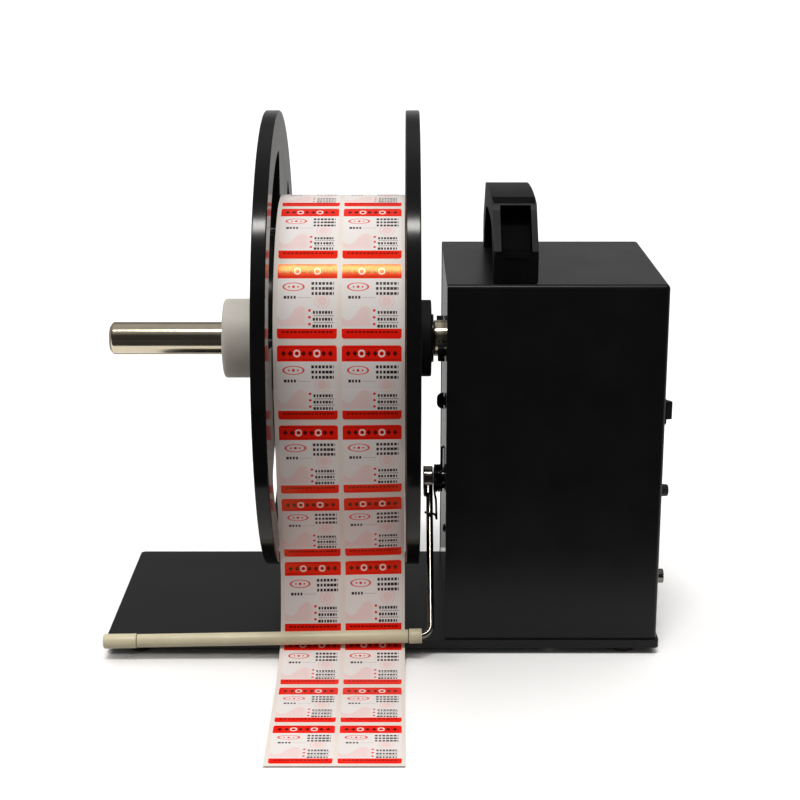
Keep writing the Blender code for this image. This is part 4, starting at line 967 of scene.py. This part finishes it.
PIVOT = (0, 0, ARM_PIVOT_Z)
rod = [along_arm(6.6, x=ARM_X)] + [along_arm(t, x=ARM_X) for t in (20, 35, 50, 65, 80, ARM_LENGTH - ARM_BEND_R)]
for k in range(1, 19):
    a = math.radians(5 * k)
    rod.append(along_arm(ARM_LENGTH - ARM_BEND_R + ARM_BEND_R * math.sin(a), x=ARM_X - ARM_BEND_R + ARM_BEND_R * math.cos(a)))
START = ROLLER_AT - Vector((0, 0, ARM_PIVOT_Z))
for s in (2.0, 30.0, 60.0, 90.0, 120.0, 150.0, 168.5):
    rod.append(START + Vector((-s * math.cos(ROLLER_DROOP), 0, -s * math.sin(ROLLER_DROOP))))
make("tension_arm_rod_fine", tube(new(), rod, ROD_R, 32), CHROME, "tension_arm", "tension_arm_rod", at=PIVOT)

COLLAR_X0, COLLAR_X1, COLLAR_R = 13.2, 18.6, 6.83
profile = soften([(COLLAR_X0, 0), (COLLAR_X0, COLLAR_R), (COLLAR_X1, COLLAR_R), (COLLAR_X1, 0)], [0, 0.7, 0.7, 0], 5, False)
collar = carve(revolve(new(), profile, 96), tube(new(), [along_arm(d, x=15.9) for d in (2.0, 7.0, 11.1)], 2.66, 48, cap=0.5), op="UNION")
collar = carve(
    collar,
    cylinder(new(), "X", 3.3, COLLAR_X0 + 1.2, COLLAR_X1 + 3, (0, 0), 40),
    tube(new(), [along_arm(6.2, x=ARM_X - 0.3), along_arm(12, x=ARM_X - 0.3), along_arm(20, x=ARM_X - 0.3)], 2.3, 32),
    tube(new(), [along_arm(-2.0, x=15.9), along_arm(-6.0, x=15.9), along_arm(-12.0, x=15.9)], 1.8, 24),
)
make("arm_collar_fine", collar, CHROME, "tension_arm", "arm_collar", at=PIVOT, weighted=True)
profile = [(18.95, 3.3), (18.95, 6.0), (33.4, 6.0), (33.4, 3.3)]
make("arm_bush_fine", revolve(new(), soften(profile, [0.2, 0.4, 0.2, 0.2], 3), 64, True), DARK_STEEL, "root", "arm_bush", at=PIVOT)

COIL_R, COIL_XA, COIL_XB = 7.35, 23.8, 19.6
points = [Vector((30.0, COIL_R, 16.5)), Vector((27.5, COIL_R, 16.5))]
for k in range(0, 7):
    a = math.radians(15 * k)
    points.append(Vector((COIL_XA + 1.6 - 1.6 * math.sin(a), COIL_R, 14.9 + 1.6 * math.cos(a))))
points += [Vector((COIL_XA, COIL_R, 11.0)), Vector((COIL_XA, COIL_R, 6.0)), Vector((COIL_XA, COIL_R, 2.5))]
TURN = 2 * math.pi * 3 + ARM_ANGLE
for k in range(151):
    a = TURN * k / 150
    points.append(Vector((COIL_XA + (COIL_XB - COIL_XA) * k / 150, COIL_R * math.cos(a), -COIL_R * math.sin(a))))
LEG_X = 20.6
points += [along_arm(t, COIL_R, x) for t, x in ((3.0, COIL_XB), (6.5, COIL_XB + 0.25), (10.0, LEG_X - 0.15), (14.0, LEG_X), (19.0, LEG_X))]
points += smooth_path(
    [
        along_arm(21.0, 7.2, LEG_X), along_arm(22.6, 6.2, LEG_X), along_arm(23.7, 3.6, LEG_X - 0.1), along_arm(24.0, 0.0, LEG_X - 0.4),
        along_arm(24.0, -2.2, 19.3), along_arm(24.0, -3.2, 17.8), along_arm(23.8, -3.4, 15.6), along_arm(23.2, -3.4, 13.8),
    ],
    4,
)
spring = make("torsion_spring_fine", tube(new(), points, 0.65, 14, cap=0.15), DARK_STEEL, None, at=PIVOT)
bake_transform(spring)
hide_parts("torsion_spring")

# guide roller and its stops
DROOP = Matrix.Rotation(-ROLLER_DROOP, 4, "Y")
AT_ROLLER = tuple(ROLLER_AT)
profile = [(-152.9, ROLLER_R0), (-152.9, ROLLER_R1), (-6.2, ROLLER_R1), (-6.2, ROLLER_R0)]
make("guide_roller_fine", revolve(new(), soften(profile, 0.25, 3), 64, True), IVORY, "roller", "guide_roller", at=AT_ROLLER, turn=DROOP)
profile = [(-5.8, 2.35), (-5.8, 4.0), (1.2, 4.0), (1.2, 2.35)]
make("roller_stop_collar_fine", revolve(new(), soften(profile, 0.35, 3), 64, True), IVORY, "tension_arm", "roller_stop_collar", at=AT_ROLLER, turn=DROOP)
profile = [(-171.2, 0), (-171.2, 3.95), (-153.2, 3.95), (-153.2, 2.2), (-168.9, 2.2), (-168.9, 0)]
profile = soften(profile, [0, 0.9, 0.3, 0.2, 0.2, 0], 5, False)
make("roller_end_cap_fine", revolve(new(), profile, 64), IVORY, "tension_arm", "roller_end_cap", at=AT_ROLLER, turn=DROOP)

# ---------------------------------------------------------------- controls on the right face
body = box(new(), 118, 140.8, -9.65, 9.65, -5.8, 5.8)
bezel = prism(new(), "X", soften([(-10.5, -6.6), (10.5, -6.6), (10.5, 6.6), (-10.5, 6.6)], 1.0, 5), 140.3, 142.3, 0.5, 3)
body = carve(carve(body, bezel, op="UNION"), box(new(), 132.0, 145.0, -8.9, 8.9, -5.25, 5.25))
make("rocker_switch_body_fine", body, BLACK_PLASTIC, "root", "rocker_switch_body", at=(0, SWITCH_Y, SWITCH_Z), weighted=True)
half = [(-3.5, 5.2), (3.0, 7.0), (7.6, 7.2), (6.6, 5.0), (5.5, 2.6)]
rocker = half + [(4.8, 0.0)] + [(x, -y) for x, y in reversed(half)]
rocker = soften(rocker, [0.4, 0.4, 0.5, 3.0, 3.0, 6.0, 3.0, 3.0, 0.5, 0.4, 0.4], 4)
c, s = math.cos(math.radians(14)), math.sin(math.radians(14))
rocker = [(x * c + y * s, x * s - y * c) for x, y in rocker]
rocker = prism(new(), "Z", rocker, -4.95, 4.95, 0.35, 2)
make("power_rocker_fine", rocker, BLACK_PLASTIC, "rocker", "power_rocker", at=(137.4, SWITCH_Y, SWITCH_Z), weighted=True)

profile = [(-10.0, 0), (-10.0, 3.0), (0.7, 3.0), (0.7, 7.0), (2.2, 7.0), (3.6, 5.2), (4.6, 3.7), (12.0, 3.4), (12.7, 2.8), (12.7, 0)]
profile = soften(profile, [0, 0.3, 0.1, 0.4, 0.4, 1.5, 1.5, 0.4, 0.4, 0], 4, False)
knob = revolve(new(), profile, 144)
for v in knob.verts:
    r = math.hypot(v.co.y, v.co.z)
    if r > 2.6 and 4.4 < v.co.x < 12.3:
        k = 1 - 0.045 * (0.5 + 0.5 * math.cos(math.atan2(v.co.z, v.co.y) * 18))
        v.co.y *= k
        v.co.z *= k
knob = carve(knob, box(new(), 1.9, 2.9, -0.35, 0.35, 4.9, 7.4))
make("speed_knob_fine", knob, BLACK_PLASTIC, "knob", "speed_knob", at=(BOX_X1, 0, KNOB_Z))

body = box(new(), 122, 138.2, -7, 7, -5.4, 5.6)
round_edges(body, 0.5, 2, lambda a, b: True)
make("dc_inlet_body_fine", carve(body, cylinder(new(), "X", 3.2, 135.0, 150.0, (0, 0), 48)), BLACK_PLASTIC, "root", "dc_inlet", at=(0, JACK_Y, JACK_Z))
profile = [(138.2, 3.2), (138.2, 4.0), (147.0, 4.0), (147.0, 3.2)]
make("dc_inlet_sleeve", revolve(new(), soften(profile, [0.05, 0.05, 0.3, 0.2], 3), 64, True), CHROME, "root", at=(0, JACK_Y, JACK_Z))
profile = soften([(135.05, 0), (135.05, 0.95), (144.6, 0.95), (144.6, 0)], [0, 0.1, 0.5, 0], 4, False)
make("dc_inlet_pin", revolve(new(), profile, 32), STEEL, "root", at=(0, JACK_Y, JACK_Z))

# ---------------------------------------------------------------- finishes of the pieces kept from the frame
KEPT = {
    "bearing_housing": STEEL, "spindle_bearing_front": STEEL, "spindle_bearing_rear": STEEL, "inner_bracket": STEEL,
    "gear_motor": ZINC, "motor_screw_front": ZINC, "motor_screw_rear": ZINC, "drive_gear": BRASS, "motor_pinion": STEEL,
    "retaining_ring": DARK_STEEL, "hub_set_screw": STEEL, "hub_friction_ring": RUBBER, "arm_set_screw": DARK_STEEL,
    "arm_pivot_pin": STEEL, "arm_bush_nut": ZINC, "cam_lever": BLACK_PLASTIC, "switch_bracket": ZINC,
    "microswitch": BLACK_PLASTIC, "board_tray": BLACK_PLASTIC, "control_board": BOARD, "speed_potentiometer": ZINC,
    "handle_screw_front": ZINC, "handle_screw_rear": ZINC, "shell_screw_front": ZINC, "shell_screw_rear": ZINC,
    "bracket_screw_front": ZINC, "bracket_screw_rear": ZINC,
}
for node, mat in KEPT.items():
    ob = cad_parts[node]
    ob = ob if hasattr(ob, "data") else bpy.data.objects[node]
    for slot in ob.material_slots:
        slot.material = mat

# ---------------------------------------------------------------- floor, light and surroundings
floor_mat, nt, bsdf = fresh("studio_floor")
nt.links.new(blend_colours(nt, noise(nt, object_vector(nt), 3.0, 2.0), (0.965, 0.965, 0.965), (0.980, 0.980, 0.980)), bsdf.inputs["Base Color"])
bsdf.inputs["Roughness"].default_value = 0.9
bsdf.inputs["Specular IOR Level"].default_value = 0.1
dim_mat, nt, bsdf = fresh("studio_dim")
nt.links.new(blend_colours(nt, noise(nt, object_vector(nt), 3.0, 2.0), (0.27, 0.27, 0.27), (0.30, 0.30, 0.30)), bsdf.inputs["Base Color"])
bsdf.inputs["Roughness"].default_value = 0.9
bounce_mat, nt, bsdf = fresh("studio_bounce")
nt.links.new(blend_colours(nt, noise(nt, object_vector(nt), 3.0, 2.0), (0.355, 0.345, 0.335), (0.385, 0.375, 0.365)), bsdf.inputs["Base Color"])
bsdf.inputs["Roughness"].default_value = 0.9
dark_mat, nt, bsdf = fresh("studio_dark")
nt.links.new(blend_colours(nt, noise(nt, object_vector(nt), 3.0, 2.0), (0.02, 0.02, 0.02), (0.03, 0.03, 0.03)), bsdf.inputs["Base Color"])
bsdf.inputs["Roughness"].default_value = 1.0


def ground(name, x0, x1, y0, y1, z, mat):
    bm = new()
    bm.faces.new([bm.verts.new(p) for p in ((x0, y0, z), (x1, y0, z), (x1, y1, z), (x0, y1, z))])
    me = bpy.data.meshes.new(name)
    bm.to_mesh(me)
    bm.free()
    me.materials.append(mat)
    ob = bpy.data.objects.new(name, me)
    SCENE.collection.objects.link(ob)
    return ob


# the floor that is seen, and under the same light a dimmer one that lights the object from below and
# three that polished pieces mirror: dark in front, bright under the object, dim far behind
floor = ground("floor", -14, 14, -12, 16, -0.0003, floor_mat)
floor.visible_diffuse = floor.visible_glossy = floor.visible_shadow = False
bounce = ground("floor_bounce", -14, 14, -12, 16, -0.0010, bounce_mat)
bounce.visible_camera = bounce.visible_glossy = bounce.visible_shadow = False
for name, y0, y1, mat in (("front", -12, -0.135, dark_mat), ("near", -0.135, 0.14, floor_mat), ("far", 0.14, 16, dim_mat)):
    sheen = ground("floor_sheen_" + name, -14, 14, y0, y1, -0.0005, mat)
    sheen.visible_camera = sheen.visible_diffuse = sheen.visible_shadow = False


def sun(name, elevation, azimuth, strength, angle, colour=(1, 1, 1)):
    """Azimuth 0 is the camera's side."""
    data = bpy.data.lights.new(name, "SUN")
    data.energy, data.angle, data.color = strength, math.radians(angle), colour
    ob = bpy.data.objects.new(name, data)
    SCENE.collection.objects.link(ob)
    e, a = math.radians(elevation), math.radians(azimuth)
    to_light = Vector((math.sin(a) * math.cos(e), -math.cos(a) * math.cos(e), math.sin(e)))
    ob.rotation_euler = (-to_light).to_track_quat("-Z", "Y").to_euler()
    return ob


# one wide softbox overhead, as a row of suns along X, so long bright pieces mirror it from end to end
for k, across in enumerate((-0.170, -0.113, -0.057, 0.0, 0.057)):
    norm = math.sqrt(1 + across * across)
    sun("key_softbox_%d" % (k + 1), math.degrees(math.asin(0.9367 / norm)), math.degrees(math.atan2(across, 0.3502)), 0.29, 6.5, (1.0, 0.975, 0.94))
sun("front_fill", 30, -6, 0.11, 60, (1.0, 0.99, 0.98)).visible_glossy = False
sun("overhead_fill", 86, 180, 1.8, 90, (1.0, 0.99, 0.98)).visible_glossy = False

world = bpy.data.worlds.new("studio")
SCENE.world = world
world.use_nodes = True
nt = world.node_tree
nt.nodes.clear()
out = nt.nodes.new("ShaderNodeOutputWorld")
bg = nt.nodes.new("ShaderNodeBackground")
tc = nt.nodes.new("ShaderNodeTexCoord")
sep = nt.nodes.new("ShaderNodeSeparateXYZ")
nt.links.new(tc.outputs["Generated"], sep.inputs["Vector"])
fy = Term(nt, sep.outputs["Y"])
fz = Term(nt, sep.outputs["Z"])
# dark towards the camera's side, brighter low behind and overhead
back = spread(nt, (fy * 0.5 + 0.5).value, 0.0, 1.0)
steep = spread(nt, (fz.hi(0.0) * 1.6 + 0.0).value, 0.0, 1.0)
over = spread(nt, (fz.hi(0.0) * 1.3 - 0.42).value, 0.0, 1.0)
amount = Term(nt, back) * Term(nt, back) * 0.30 * (Term(nt, steep) * -0.5 + 1.0) + Term(nt, over) * 0.34 + 0.045
nt.links.new(amount.value, bg.inputs["Strength"])
bg.inputs["Color"].default_value = (1.0, 1.0, 1.0, 1.0)
nt.links.new(bg.outputs["Background"], out.inputs["Surface"])
